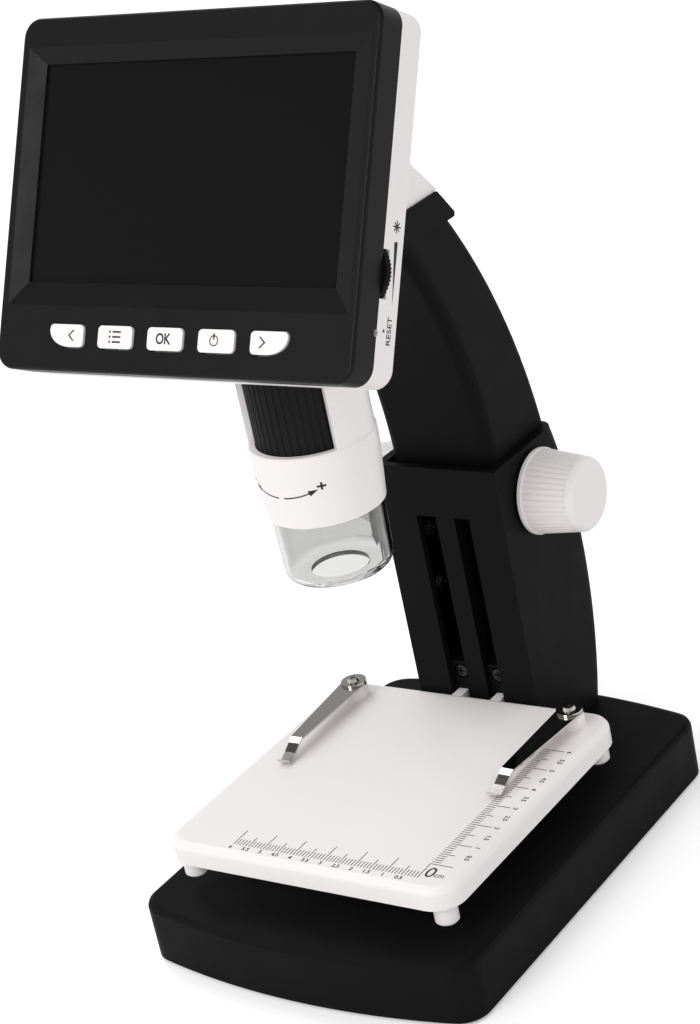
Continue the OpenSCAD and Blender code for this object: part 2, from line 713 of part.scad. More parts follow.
// Carriage behind the window
carriage_low_z = stage_top_z - 9;
carriage_h = 18;
carriage_front_y = column_inner_y + carriage_gap;
carriage_d = 5.9;
carriage_back_y = carriage_front_y + carriage_d;
carriage_w = 2 * (guide_x - slide_gap);
rack_screw_x = 6.3;
rack_screw_z = carriage_low_z + carriage_h - 3.4;
module carriage() {
    color(black_abs) difference() {
        translate([-carriage_w / 2, carriage_front_y, carriage_low_z])
            cube([carriage_w, carriage_d, carriage_h]);
        translate([-rail_w / 2 - slide_gap, carriage_front_y - 1, carriage_low_z - 1])
            cube([rail_w + 2 * slide_gap, rail_back_y + slide_gap - carriage_front_y + 1, carriage_h + 2]);
        for (x = [-1, 1]) {
            translate([x * tab_x - tab_w / 2 - press_gap, carriage_front_y - 1, tab_low_z - press_gap])
                cube([tab_w + 2 * press_gap, tab_end_y - carriage_front_y + 1, tab_h + 2 * press_gap]);
            translate([x * tab_x, carriage_back_y + 1, tab_screw_z]) rotate([90, 0, 0])
                cylinder(r = screw_r + seat_gap, h = carriage_d + 2);
            translate([x * rack_screw_x, carriage_back_y + 1, rack_screw_z]) rotate([90, 0, 0])
                cylinder(r = screw_r + seat_gap, h = carriage_d + 2);
            translate([x * rack_screw_x, carriage_front_y + screw_head_h, rack_screw_z]) rotate([90, 0, 0])
                cylinder(r = screw_head_r + seat_gap, h = screw_head_h + 1);
        }
    }
}
module carriage_screws() {
    color(steel) for (x = [-1, 1]) translate([x * tab_x, carriage_back_y, tab_screw_z])
        rotate([-90, 0, 0]) pan_screw(screw_r - press_gap, carriage_d + 2, screw_head_r, screw_head_h);
}
module rack_screws() {
    color(steel) for (x = [-1, 1])
        translate([x * rack_screw_x, carriage_front_y + screw_head_h, rack_screw_z])
        rotate([90, 0, 0]) pan_screw(screw_r - press_gap, carriage_d - screw_head_h + 2, screw_head_r,
            screw_head_h - 0.1);
}

// Rack and pinion
shaft_y = column_inner_y + 17.3;
pitch_r = gear_module * pinion_teeth / 2;
tooth_pitch = PI * gear_module;
pressure_angle = 20;
rack_addendum = 0.7 * gear_module;
dedendum = 1.25 * gear_module;
rack_pitch_y = shaft_y - pitch_r;
rack_root_y = rack_pitch_y - dedendum;
rack_foot_w = 18;
rack_foot_t = 2.4;
rack_foot_h = 6.4;
rack_foot_z = rack_screw_z - rack_foot_h / 2;
rack_low_z = shaft_z - lift_up - 5;
rack_top_z = shaft_z + lift_down + 4;
tooth_half = tooth_pitch / 4 - backlash / 2;
module rack() {
    tip_half = tooth_half - rack_addendum * tan(pressure_angle);
    root_half = tooth_half + dedendum * tan(pressure_angle);
    color(black_abs) difference() {
        union() {
            translate([-rack_w / 2, carriage_back_y, rack_foot_z])
                cube([rack_w, rack_root_y - carriage_back_y, rack_top_z - rack_foot_z]);
            translate([-rack_foot_w / 2, carriage_back_y, rack_foot_z])
                cube([rack_foot_w, rack_foot_t, rack_foot_h]);
            for (k = [ceil((rack_low_z - shaft_z) / tooth_pitch) : floor((rack_top_z - 1.3 - shaft_z) / tooth_pitch)])
                side_block(rack_w, [for (p = [[rack_root_y - 0.2, -root_half], [rack_root_y, -root_half],
                    [rack_pitch_y + rack_addendum, -tip_half], [rack_pitch_y + rack_addendum, tip_half],
                    [rack_root_y, root_half], [rack_root_y - 0.2, root_half]]) [p[0],
                        shaft_z + k * tooth_pitch + p[1]]]);
        }
        for (x = [-1, 1]) translate([x * rack_screw_x, carriage_back_y + 3, rack_screw_z])
            rotate([90, 0, 0]) cylinder(r = screw_r - press_gap, h = 4);
    }
}
// Half of an involute tooth at the angle a, from its root to its tip
base_r = pitch_r * cos(pressure_angle);
tip_roll = sqrt(pow((pitch_r + gear_module) / base_r, 2) - 1);
tooth_foot_a = (tooth_half / pitch_r + tan(pressure_angle)) * 180 / PI - pressure_angle;
function flank(a, s) = [for (i = [0:6]) let (t = tip_roll * i / 6, r = base_r * sqrt(1 + t * t),
    b = a + s * (tooth_foot_a - (t * 180 / PI - atan(t)))) [r * cos(b), r * sin(b)]];
function tooth(a) = concat([(pitch_r - dedendum) * [cos(a - tooth_foot_a), sin(a - tooth_foot_a)]],
    flank(a, -1),
    [for (i = [6:-1:0]) flank(a, 1)[i]],
        [(pitch_r - dedendum) * [cos(a + tooth_foot_a), sin(a + tooth_foot_a)]]);
module pinion() {
    step = 360 / pinion_teeth;
    color(brass) translate([-rack_w / 2 - 0.5, shaft_y, shaft_z]) rotate([90, 0, 90]) difference() {
        linear_extrude(rack_w + 1)
            polygon([for (k = [0:pinion_teeth - 1]) each tooth(180 + step * (k + 0.5))]);
        translate([0, 0, -1]) cylinder(r = shaft_r, h = rack_w + 3);
    }
}
knob_gap = 0.7;
knob_x = column_w / 2 + knob_gap;
shaft_end = 1.8;
bush_r = shaft_r + 2;
bush_flange_r = bush_r + 1.5;
module knob_shaft() {
    color(steel) rod_x([-knob_x - knob_len + shaft_end, shaft_y, shaft_z], shaft_r,
        2 * (knob_x + knob_len - shaft_end));
}
module shaft_bushes() {
    color(brass) for (s = [-1, 1]) translate([s * (cavity_w / 2), shaft_y, shaft_z]) rotate([0, s * 90, 0])
        difference() {
        union() {
            cylinder(r = bush_r, h = column_side_wall);
            translate([0, 0, -1.5]) cylinder(r = bush_flange_r, h = 1.5);
        }
        translate([0, 0, -3]) cylinder(r = shaft_r + running_gap, h = column_side_wall + 6);
    }
}
module knob_washers() {
    color(dark_rubber) for (s = [-1, 1]) translate([s * column_w / 2, shaft_y, shaft_z])
        rotate([0, s * 90, 0]) difference() {
        cylinder(r = knob_r - 3, h = knob_gap - 0.2);
        translate([0, 0, -1]) cylinder(r = shaft_r + slide_gap, h = knob_gap + 2);
    }
}
// Knob with its foot at z = 0: a plain rim, a fluted taper and a rounded cap
flute_depth = 0.5;
// Share of a flute's step, and how deep the outline lies there
flute_form = [[0, flute_depth], [0.2, 0.08], [0.3, 0], [0.7, 0], [0.8, 0.08]];
knob_rim_h = 1.5;
knob_round = [2.1, 2.3];
function knob_r_at(z) = knob_r + (knob_tip_r - knob_r) * z / knob_len;
module knob() {
    step = 360 / knob_flutes;
    cap_z = knob_len - knob_round[1];
    taper = [knob_rim_h - 0.6, cap_z + 0.5];
    r = knob_r_at(taper[0]);
    difference() {
        union() {
            rotate_extrude() polygon([[0, 0], [knob_r - 0.3, 0], [knob_r, 0.3], [knob_r, knob_rim_h - 0.2],
                [knob_r - 0.2, knob_rim_h], [0, knob_rim_h]]);
            translate([0, 0, taper[0]])
                linear_extrude(height = taper[1] - taper[0], scale = knob_r_at(taper[1]) / r)
                polygon([for (i = [0:knob_flutes - 1], p = flute_form)
                    (r - 0.1 - p[1]) * [cos((i + p[0]) * step), sin((i + p[0]) * step)]]);
            rotate_extrude() polygon(concat([[0, cap_z]], [for (a = [0:11.25:90])
                [knob_r_at(cap_z) + knob_round[0] * (cos(a) - 1), cap_z + knob_round[1] * sin(a)]],
                [[0, knob_len]]));
        }
        translate([0, 0, -1]) cylinder(r = shaft_r, h = knob_len - shaft_end + 1);
    }
}
module knob_left() { color(white_abs) translate([-knob_x, shaft_y, shaft_z]) rotate([0, -90, 0]) knob(); }
module knob_right() { color(white_abs) translate([knob_x, shaft_y, shaft_z]) rotate([0, 90, 0]) knob(); }

// Barrel, on the lens axis
hump_low_z = collar_top_z - 3.3;
barrel_top_z = hump_low_z + 10;
barrel_step_r = barrel_r + 0.4;
barrel_step_z = barrel_rim_z + 15.5;
barrel_window_z = barrel_rim_z + 20.2;
focus_low_z = barrel_rim_z + 18;
focus_h = 35;
web_low_z = barrel_rim_z + 5.5;
web_t = 4;
web_hole_r = 8.5;
shade_rim_r = barrel_rim_r - 0.95;
module on_axis(z) {
    translate([0, lens_y, z]) children();
}
module barrel_body() {
    color(white_abs) on_axis(0) difference() {
        rotate_extrude($fn = 128)
            polygon([[shade_rim_r, barrel_rim_z], [barrel_rim_r, barrel_rim_z],
                [barrel_step_r, barrel_step_z],
            [barrel_step_r, barrel_window_z - 0.4], [barrel_r, barrel_window_z], [barrel_r, barrel_top_z],
                [barrel_bore_r, barrel_top_z],
            [barrel_bore_r, focus_low_z - slide_gap], [barrel_bore_r - 1, focus_low_z - slide_gap],
                [barrel_bore_r - 1, web_low_z + web_t],
            [web_hole_r, web_low_z + web_t], [web_hole_r, web_low_z], [shade_rim_r, web_low_z]]);
        rotate(-90 - barrel_window / 2) translate([0, 0, barrel_window_z])
            rotate_extrude(angle = barrel_window, $fn = 128)
            translate([barrel_bore_r - 2, 0]) square([6, focus_low_z + focus_h - 1.5 - barrel_window_z]);
        for (x = [-1, 1]) translate([x * guide_pin_x, 0, web_low_z + 1])
            cylinder(r = guide_pin_r, h = web_t);
    }
}
shade_top_z = barrel_rim_z + 3.8;
shade_low_r = 14.9;
shade_round = 3.3;
module clear_shade() {
    top_r = shade_rim_r - running_gap;
    color(clear) on_axis(0) rotate_extrude($fn = 128) polygon(concat(
        [[top_r, shade_top_z], [top_r, barrel_rim_z - 0.2], [shade_low_r + 0.5, barrel_rim_z - 0.3]],
        arc([shade_low_r - shade_round, shade_low_z + shade_round], shade_round, 0, -90, 8),
        [[shade_hole_r, shade_low_z], [shade_hole_r, shade_low_z + shade_wall]],
        arc([shade_low_r - shade_round, shade_low_z + shade_round], shade_round - shade_wall, -90, 0, 8),
        [[shade_low_r + 0.5 - shade_wall, barrel_rim_z - 0.3], [top_r - shade_wall, shade_top_z]]));
}
led_count = 8;
led_ring_r = 11.2;
led_board_t = 1.6;
led_r = 1.5;
led_h = 1.4;
led_board_r = shade_rim_r - shade_wall - 0.3;
module led_board() {
    color(board_green) on_axis(web_low_z - led_board_t) difference() {
        cylinder(r = led_board_r, h = led_board_t);
        translate([0, 0, -1]) cylinder(r = web_hole_r - 0.5, h = led_board_t + 2);
    }
}
module leds() {
    color(white_abs) on_axis(web_low_z - led_board_t) for (i = [0:led_count - 1])
        rotate(i * 360 / led_count)
        translate([led_ring_r, 0, -led_h]) cylinder(r = led_r, h = led_h);
}
focus_bore_r = 12.4;
module focus_ring() {
    rib_r = PI * focus_r / focus_ribs * 0.55;
    color(dark_rubber) on_axis(focus_low_z) difference() {
        cylinder(r = focus_r, h = focus_h, $fn = 128);
        translate([0, 0, -1]) cylinder(r = focus_bore_r, h = focus_h + 2);
        for (i = [0:focus_ribs - 1]) rotate(i * 360 / focus_ribs) translate([focus_r + rib_r * 0.35, 0, 2])
            cylinder(r = rib_r * 0.8, h = focus_h - 4, $fn = 16);
    }
}
lens_travel_down = 4;
lens_travel_up = 6;
lens_low_z = web_low_z + web_t + lens_travel_down + 1;
lens_tube_h = 24;
lens_tube_r = focus_bore_r - slide_gap;
lens_r = 6.5;
lens_t = 3;
guide_pin_x = 9.6;
guide_pin_r = 0.8;
module lens_carrier() {
    color(black_abs) on_axis(lens_low_z) difference() {
        cylinder(r = lens_tube_r, h = lens_tube_h);
        translate([0, 0, -1]) cylinder(r = lens_r - 1, h = lens_tube_h + 2);
        translate([0, 0, -1]) cylinder(r = lens_r, h = lens_t + 2);
        translate([0, 0, lens_tube_h - lens_t - 1]) cylinder(r = lens_r, h = lens_t + 2);
        for (x = [-1, 1]) translate([x * guide_pin_x, 0, -1])
            cylinder(r = guide_pin_r + running_gap, h = lens_tube_h + 2);
    }
}
module lens_element(z) {
    on_axis(z) intersection() {
        cylinder(r = lens_r, h = lens_t);
        translate([0, 0, lens_t / 2 - 16]) sphere(r = 17.3);
    }
}
module lenses() {
    color(smoke_glass) {
        lens_element(lens_low_z + 1);
        lens_element(lens_low_z + lens_tube_h - lens_t - 1);
    }
}
sensor_holder_z = focus_low_z + focus_h + 0.5;
sensor_holder_h = 8;
module lens_guide_pins() {
    color(steel) for (x = [-1, 1]) on_axis(web_low_z + 1) translate([x * guide_pin_x, 0, 0])
        cylinder(r = guide_pin_r, h = sensor_holder_z + 2 - web_low_z - 1);
}
module sensor_holder() {
    color(black_abs) on_axis(sensor_holder_z) difference() {
        cylinder(r = barrel_bore_r - press_gap, h = sensor_holder_h);
        translate([0, 0, -1]) cylinder(r = 6, h = sensor_holder_h + 2);
        translate([-5.5, -5.5, 4]) cube([11, 11, sensor_holder_h]);
        for (x = [-1, 1]) translate([x * guide_pin_x, 0, -1]) cylinder(r = guide_pin_r, h = 3);
    }
}
module ir_filter() {
    color(smoke_glass) on_axis(sensor_holder_z + 4) translate([-5.4, -5.4, 0]) cube([10.8, 10.8, 0.6]);
}
module image_sensor() {
    color([0.2, 0.2, 0.22]) on_axis(sensor_holder_z + sensor_holder_h - 1.5) translate([-4.5, -4.5, 0])
        cube([9, 9, 1.5]);
}
module sensor_board() {
    color(board_green) on_axis(sensor_holder_z + sensor_holder_h) cylinder(r = barrel_bore_r - 1, h = 1.6);
}

// Head, in its own frame: u across, b backwards, w up the slope, the window's middle at the origin
head_y = lens_y - 25.8;
head_z = collar_top_z + 32.1;
window_to_middle = 5.3;
bezel_back = bezel_t - bevel_depth;
head_front = -bevel_depth;
bezel_skin = 0.8;
cover_back = bezel_back + cover_t;
head_low_w = -window_to_middle - head_len / 2;
head_top_w = -window_to_middle + head_len / 2;
function head_pt(b, w) = [head_y + b * cos(head_tilt) + w * sin(head_tilt),
    head_z - b * sin(head_tilt) + w * cos(head_tilt)];
module in_head() {
    translate([0, head_y, head_z]) rotate([-head_tilt, 0, 0]) children();
}
// Outline in u and w, from b0 back to b1
module head_block(b0, b1) {
    translate([0, b1, 0]) rotate([90, 0, 0]) linear_extrude(b1 - b0) children();
}
// Cylinder along b
module head_rod(u, w, b0, b1, r) {
    translate([u, b1, w]) rotate([90, 0, 0]) cylinder(r = r, h = b1 - b0);
}
module head_inner(grow) {
    translate([0, -window_to_middle])
        round_rect(head_w - 2 * head_wall + 2 * grow, head_len - 2 * head_wall + 2 * grow,
            head_corner_r - head_wall + grow);
}
// Polygon moved inwards by d, for points that run anticlockwise
function inset(p, d) = let (n = len(p)) [for (i = [0:n - 1]) let (u = p[i] - p[(i + n - 1) % n],
    v = p[(i + 1) % n] - p[i],
    m = [-u[1], u[0]] / norm(u), k = [-v[1], v[0]] / norm(v)) p[i] + d * (m + k) / (1 + m * k)];

button_w_pos = head_low_w + 8.9;
button_row_u = -0.35;
button_corner_r = 1.2;
button_cut_u = 6.2;
button_rim = 0.8;
button_wall = bezel_skin - head_front;
button_flange = 0.7;
button_flange_b = bezel_skin + slide_gap;
stem_end_b = button_flange_b + 1.7;
button_hole_gap = 0.3;
head_screw_at = [for (x = [-1, 1]) [x * (head_w / 2 - 9.3), head_low_w + 7.3]];
reset_w = -36.9;
// Outline of a button; side is -1 or 1 for the outer two, whose lower outer corner is cut round
module button_outline(side, grow) {
    w = button_w + 2 * grow;
    h = button_h + 2 * grow;
    r = button_corner_r + grow;
    cut_w = h - r - 0.2;
    if (side == 0) round_rect(w, h, r);
    else mirror([side < 0 ? 1 : 0, 0]) polygon(concat(
        [for (a = [0:-10:-90]) [w / 2 - button_cut_u * (1 - cos(a)), -h / 2 + cut_w * (1 + sin(a))]],
        arc([r - w / 2, r - h / 2], r, 270, 180, 4), arc([r - w / 2, h / 2 - r], r, 180, 90, 4),
        arc([w / 2 - r, h / 2 - r], r, 90, 0, 4)));
}
function button_side(k) = abs(k) < 2 ? 0 : sign(k);
function button_u(k) = button_row_u + k * button_step;
module button(k) {
    color(white_abs) in_head() {
        head_block(head_front - button_proud, button_flange_b) translate([button_u(k), button_w_pos])
            button_outline(button_side(k), 0);
        head_block(button_flange_b, button_flange_b + button_flange) translate([button_u(k), button_w_pos])
            square([button_w + 2 * button_rim, button_h + 2 * button_rim], center = true);
        head_rod(button_u(k), button_w_pos, button_flange_b, stem_end_b, 1.8);
    }
}
module button_prev() { button(-2); }
module button_menu() { button(-1); }
module button_ok() { button(0); }
module button_power() { button(1); }
module button_next() { button(2); }
switch_b = stem_end_b + button_travel + 0.05;
board_b = switch_b + 0.8;
module keypad_board() {
    color(board_green) in_head() {
        head_block(board_b, board_b + 1.2) translate([button_row_u, button_w_pos])
            square([4 * button_step + button_w + 3, 10], center = true);
        for (k = [-2:2]) {
            head_block(board_b - 0.4, board_b) translate([button_u(k), button_w_pos])
                square([5, 5], center = true);
            head_rod(button_u(k), button_w_pos, switch_b, board_b, 1.4);
        }
    }
}
module front_bezel() {
    color(black_abs) in_head() difference() {
        union() {
            difference() {
                translate([0, bezel_back, -window_to_middle]) rotate([90, 0, 0])
                    soft_plate(head_w, head_len, bezel_t, head_corner_r, 0.9);
                head_block(bezel_skin, bezel_back + 1) head_inner(0);
            }
            for (p = head_screw_at) head_rod(p[0], p[1], 0, bezel_back, boss_r);
            for (k = [-1.5:1:1.5]) head_block(0, board_b) translate([button_u(k), button_w_pos])
                square([0.7, button_h], center = true);
        }
        hull() {
            head_block(0, eps) square([lcd_w, lcd_h], center = true);
            head_block(head_front - eps, head_front) translate([0, -0.95])
                square([lcd_w + 10.2, lcd_h + 10], center = true);
        }
        head_block(-1, bezel_skin + 1) square([lcd_w, lcd_h], center = true);
        for (k = [-2:2]) head_block(head_front - 1, bezel_skin + 1) translate([button_u(k), button_w_pos])
            button_outline(button_side(k), button_hole_gap);
        for (p = head_screw_at) head_rod(p[0], p[1], 1, bezel_back + 1, screw_r - press_gap);
        translate([head_w / 2 - head_wall - 1, bezel_back - 0.4, reset_w]) rotate([0, 90, 0])
            cylinder(r = 0.9, h = head_wall + 2);
    }
}
module display_glass() {
    color(smoke_glass) in_head() head_block(bezel_skin, bezel_skin + glass_t)
        square([lcd_w + 3.6, lcd_h + 4], center = true);
}
panel_side_gap = 0.55;
module display_panel() {
    color([0.25, 0.26, 0.28]) in_head() head_block(bezel_skin + glass_t, bezel_skin + glass_t + panel_t)
        translate([0, 0.5]) square([head_w - 2 * head_wall - 2 * panel_side_gap, lcd_h + 12.1],
            center = true);
}
main_board_b = bezel_back + 0.6;
main_board_t = 1.6;
socket_b = main_board_b + main_board_t;
cover_inner_b = cover_back - head_wall;
board_side = [1.3, 17.3];
board_h = 62;
board_left = -head_w / 2 + head_wall + board_side[0];
board_right = head_w / 2 - head_wall - board_side[1];
board_post_at = [for (x = [board_left + 6, board_right - 6], w = [-24, 26]) [x, w]];
cell_size = [30, 44, 4.4];
cell_at = [board_left + 33, 2];
module main_board() {
    color(board_green) in_head() head_block(main_board_b, main_board_b + main_board_t)
        translate([board_left, -board_h / 2]) square([board_right - board_left, board_h]);
}
module battery() {
    color([0.62, 0.64, 0.68]) in_head() head_block(socket_b, socket_b + cell_size[2])
        translate(cell_at) square([cell_size[0], cell_size[1]], center = true);
}
dimmer_u = head_w / 2 + 1.3 - dimmer_r;
dimmer_w = -23;
dimmer_b = bezel_back + 0.3;
pot_b = dimmer_b + dimmer_t + slide_gap;
dimmer_stub_r = 1.5;
dimmer_flutes = 60;
dimmer_slot_h = 11.6;
dimmer_slot_end = dimmer_b + dimmer_t + 0.4;
module dimmer_wheel() {
    color(black_abs) in_head() difference() {
        union() {
            head_rod(dimmer_u, dimmer_w, dimmer_b, dimmer_b + dimmer_t, dimmer_r);
            head_rod(dimmer_u, dimmer_w, dimmer_b, pot_b + 3, dimmer_stub_r);
        }
        for (i = [1:dimmer_flutes]) translate([dimmer_u, 0, dimmer_w])
            rotate([0, i * 360 / dimmer_flutes, 0])
            translate([dimmer_r + 0.1, dimmer_b - 1, 0]) rotate([-90, 0, 0])
                cylinder(r = 0.33, h = dimmer_t + 2, $fn = 12);
    }
}
module dimmer_pot() {
    color([0.3, 0.3, 0.32]) in_head() difference() {
        head_block(pot_b, cover_inner_b) translate([dimmer_u - 1.4, dimmer_w])
            square([9, 10], center = true);
        head_rod(dimmer_u, dimmer_w, pot_b - 1, cover_back, dimmer_stub_r + running_gap);
    }
}
usb_w = -6;
usb_size = [7.6, 2.8, 5.6];
card_w = 14;
card_size = [14, 1.9, 15];
module side_box(w, size, grow, x0, x1) {
    translate([x0, socket_b - grow, w - size[0] / 2 - grow])
        cube([x1 - x0, size[1] + 2 * grow, size[0] + 2 * grow]);
}
module side_sockets() {
    color(steel) in_head() for (s = [[usb_w, usb_size], [card_w, card_size]]) difference() {
        side_box(s[0], s[1], 0, -head_w / 2 + head_wall, -head_w / 2 + head_wall + s[1][2]);
        side_box(s[0], s[1], -0.4, -head_w / 2 - 1, -head_w / 2 + head_wall + s[1][2] - 1);
    }
}
module head_screws() {
    color(steel) in_head() for (p = head_screw_at) translate([p[0], cover_back - 2, p[1]])
        rotate([-90, 0, 0]) pan_screw(screw_r - press_gap, cover_back - 4, screw_head_r, screw_head_h);
}
hump_top_w = 24;
hump_dip_b = 8;
hump_dip_w = (hump_low_z - head_z + hump_dip_b * sin(head_tilt)) / cos(head_tilt);
hump_back_y = arm_y(arm_back_c, arm_back_r, collar_top_z) + 2.3;
hump_line = [head_pt(hump_dip_b, hump_top_w), head_pt(hump_dip_b, hump_dip_w),
    [collar_out[4][0], hump_low_z], [collar_out[4][0], collar_top_z], [hump_back_y, collar_top_z],
    [hump_back_y - 9, collar_top_z + 9.8], [hump_back_y - 30.2, collar_top_z + 32.7],
        head_pt(cover_back, hump_top_w)];
// The hump's outline with its lowest back corner blunted down to the collar's edge
hump_out = concat([for (i = [0:3]) hump_line[i]],
    [[collar_out[3][0], collar_top_z], [hump_back_y - 0.4, collar_top_z + 0.44]],
    [for (i = [5:7]) hump_line[i]]);
module rear_cover() {
    color(white_abs) difference() {
        union() {
            in_head() difference() {
                translate([0, bezel_back, -window_to_middle]) rotate([-90, 0, 0])
                    soft_plate(head_w, head_len, cover_t, head_corner_r, cover_edge_r);
                difference() {
                    head_block(bezel_back - 1, cover_inner_b) head_inner(0);
                    for (p = head_screw_at) head_rod(p[0], p[1], bezel_back, cover_back, boss_r);
                    for (p = board_post_at)
                        head_rod(p[0], p[1], main_board_b + main_board_t, cover_back, 2.2);
                }
            }
            side_block(hump_w, hump_out);
        }
        difference() {
            side_block(hump_w - 2 * head_wall, inset(hump_line, head_wall));
            on_axis(barrel_top_z) difference() {
                cylinder(r = barrel_r + 1, h = 2);
                translate([0, 0, -1]) cylinder(r = barrel_bore_r - 2, h = 4);
            }
            for (x = [-1, 1]) rod_x([x > 0 ? neck_pad_x : -hump_w / 2, neck_screw_y, neck_screw_z],
                neck_pad_r, hump_w / 2 - neck_pad_x);
        }
        intersection() {
            in_head() head_block(bezel_back - 3, cover_inner_b) head_inner(0);
            side_block(hump_w, hump_out);
        }
        on_axis(hump_low_z - 20) cylinder(r = barrel_r + seat_gap, h = barrel_top_z - hump_low_z + 20);
        arm_form(tongue_in - seat_gap, collar_top_z - 5, collar_top_z + 4);
        for (x = [-1, 1]) rod_x([x > 0 ? neck_pad_x - 1 : -neck_pad_x - neck_thread, neck_screw_y,
            neck_screw_z],
            screw_r - press_gap, neck_thread + 1);
        in_head() {
            for (p = head_screw_at) {
                head_rod(p[0], p[1], bezel_back - 1, cover_back + 1, screw_r + seat_gap);
                head_rod(p[0], p[1], cover_back - 2, cover_back + 1, screw_head_r + seat_gap);
            }
            translate([head_w / 2 - head_wall - 1, bezel_back - 1, dimmer_w - dimmer_slot_h / 2])
                cube([head_wall + 3, dimmer_slot_end - bezel_back + 1, dimmer_slot_h]);
            head_rod(dimmer_u, dimmer_w, bezel_back - 1, dimmer_b + dimmer_t + slide_gap,
                dimmer_r + slide_gap);
            translate([head_w / 2 - head_wall - 1, bezel_back - 0.4, reset_w]) rotate([0, 90, 0])
                cylinder(r = 0.9, h = head_wall + 2);
            side_box(usb_w, usb_size, 0.3, -head_w / 2 - 1, -head_w / 2 + head_wall + 1);
            side_box(card_w, card_size, 0.3, -head_w / 2 - 1, -head_w / 2 + head_wall + 1);
        }
    }
}

base_shell();
base_cover();
rubber_feet();
base_screws();
ballast_plate();
column_screws();
column_left();
column_right();
column_half_screws();
guide_rail();
guide_bars();
guide_screws();
arm_left();
arm_right();
arm_screws();
arm_collar();
stage_plate();
stage_feet();
clip_posts();
clip_left();
clip_right();
clip_screws();
carriage();
carriage_screws();
rack();
rack_screws();
knob_shaft();
pinion();
knob_left();
knob_right();
shaft_bushes();
knob_washers();
barrel_body();
clear_shade();
led_board();
leds();
focus_ring();
lens_carrier();
lenses();
lens_guide_pins();
sensor_holder();
ir_filter();
image_sensor();
sensor_board();
rear_cover();
front_bezel();
display_glass();
display_panel();
main_board();
battery();
button_prev();
button_menu();
button_ok();
button_power();
button_next();
keypad_board();
dimmer_wheel();
dimmer_pot();
side_sockets();
head_screws();
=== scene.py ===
import json
import math

import bpy
from mathutils import Matrix, Vector


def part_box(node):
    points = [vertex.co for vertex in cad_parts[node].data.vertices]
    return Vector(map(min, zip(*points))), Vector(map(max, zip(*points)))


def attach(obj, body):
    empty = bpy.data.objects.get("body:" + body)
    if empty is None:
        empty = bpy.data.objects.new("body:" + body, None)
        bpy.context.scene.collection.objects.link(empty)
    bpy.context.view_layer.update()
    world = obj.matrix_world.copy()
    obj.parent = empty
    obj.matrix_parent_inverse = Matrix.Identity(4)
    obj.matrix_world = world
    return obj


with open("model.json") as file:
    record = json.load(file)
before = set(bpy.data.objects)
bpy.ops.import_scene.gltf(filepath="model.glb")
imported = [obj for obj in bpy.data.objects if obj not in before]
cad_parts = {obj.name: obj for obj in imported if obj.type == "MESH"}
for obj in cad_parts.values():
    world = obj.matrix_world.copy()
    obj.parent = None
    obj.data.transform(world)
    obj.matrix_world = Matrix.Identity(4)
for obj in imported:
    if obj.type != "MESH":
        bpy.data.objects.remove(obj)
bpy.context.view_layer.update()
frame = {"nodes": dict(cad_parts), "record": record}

bl_info = {
    "name": "Lcd digital microscope looks",
    "version": (1, 0, 0),
    "blender": (4, 5, 0),
    "location": "View3D > Sidebar > Microscope",
    "description": "Finishes, printed marks and studio for the packed lcd digital microscope",
    "category": "Object",
}

MM = 0.001


def linear(code):
    """Turns an sRGB hex colour into the linear colour that shaders use."""
    steps = [int(code[k:k + 2], 16) / 255 for k in (1, 3, 5)]
    return tuple(v / 12.92 if v <= 0.04045 else ((v + 0.055) / 1.055) ** 2.4 for v in steps) + (1.0,)


# ---------------------------------------------------------------- sizes and colours

def colour_property(name, code, description):
    """A colour swatch whose default is an sRGB hex value."""
    return bpy.props.FloatVectorProperty(name=name, description=description, subtype="COLOR", size=4,
                                         min=0.0, max=1.0, default=linear(code))


def length_property(name, value_mm, description):
    """A length in metres whose default is given in millimetres."""
    return bpy.props.FloatProperty(name=name, description=description, unit="LENGTH", min=0.0,
                                   precision=5, default=value_mm * MM)


class MicroscopeColours(bpy.types.PropertyGroup):
    """Colours of the finishes."""
    black: colour_property("Black ABS", "#131314", "Base, column, arm and head front")
    white: colour_property("White ABS", "#F1ECEC", "Rear cover, barrel, stage, knobs and keys")
    rubber: colour_property("Rubber", "#1B1B1C", "Focus sleeve and feet")
    glass: colour_property("Display window", "#161617", "Cover window over the dark display")
    ink: colour_property("Printing ink", "#232326", "Scale, key symbols and marks on white parts")
    mask: colour_property("Solder mask", "#0E4A2A", "Circuit boards")
    # Wall tint of the lamp shade: partly the plastic's own smoke, partly painted shade for dark parts
    # mirrored in the wall.
    smoke_and_painted_shade: colour_property("Lamp shade", "#D3D3D2", "Tint of the wall of the clear lamp shade")


class MicroscopeSizes(bpy.types.PropertyGroup):
    """Sizes of the printed marks."""
    ink_thickness: length_property("Ink thickness", 0.05, "How far the printing stands on its surface")
    tick_width: length_property("Tick width", 0.24, "Width of a line of the stage scale")
    tick_short: length_property("Millimetre tick", 2.7, "Length of a millimetre line")
    tick_middle: length_property("Half centimetre tick", 4.4, "Length of a half centimetre line")
    tick_long: length_property("Centimetre tick", 6.8, "Length of a centimetre line")
    figure_height: length_property("Figure height", 1.45, "Height of the figures of the stage scale")
    symbol_height: length_property("Key symbol height", 2.7, "Height of a symbol on a key")
    symbol_stroke: length_property("Key symbol stroke", 0.42, "Width of a line of a key symbol")


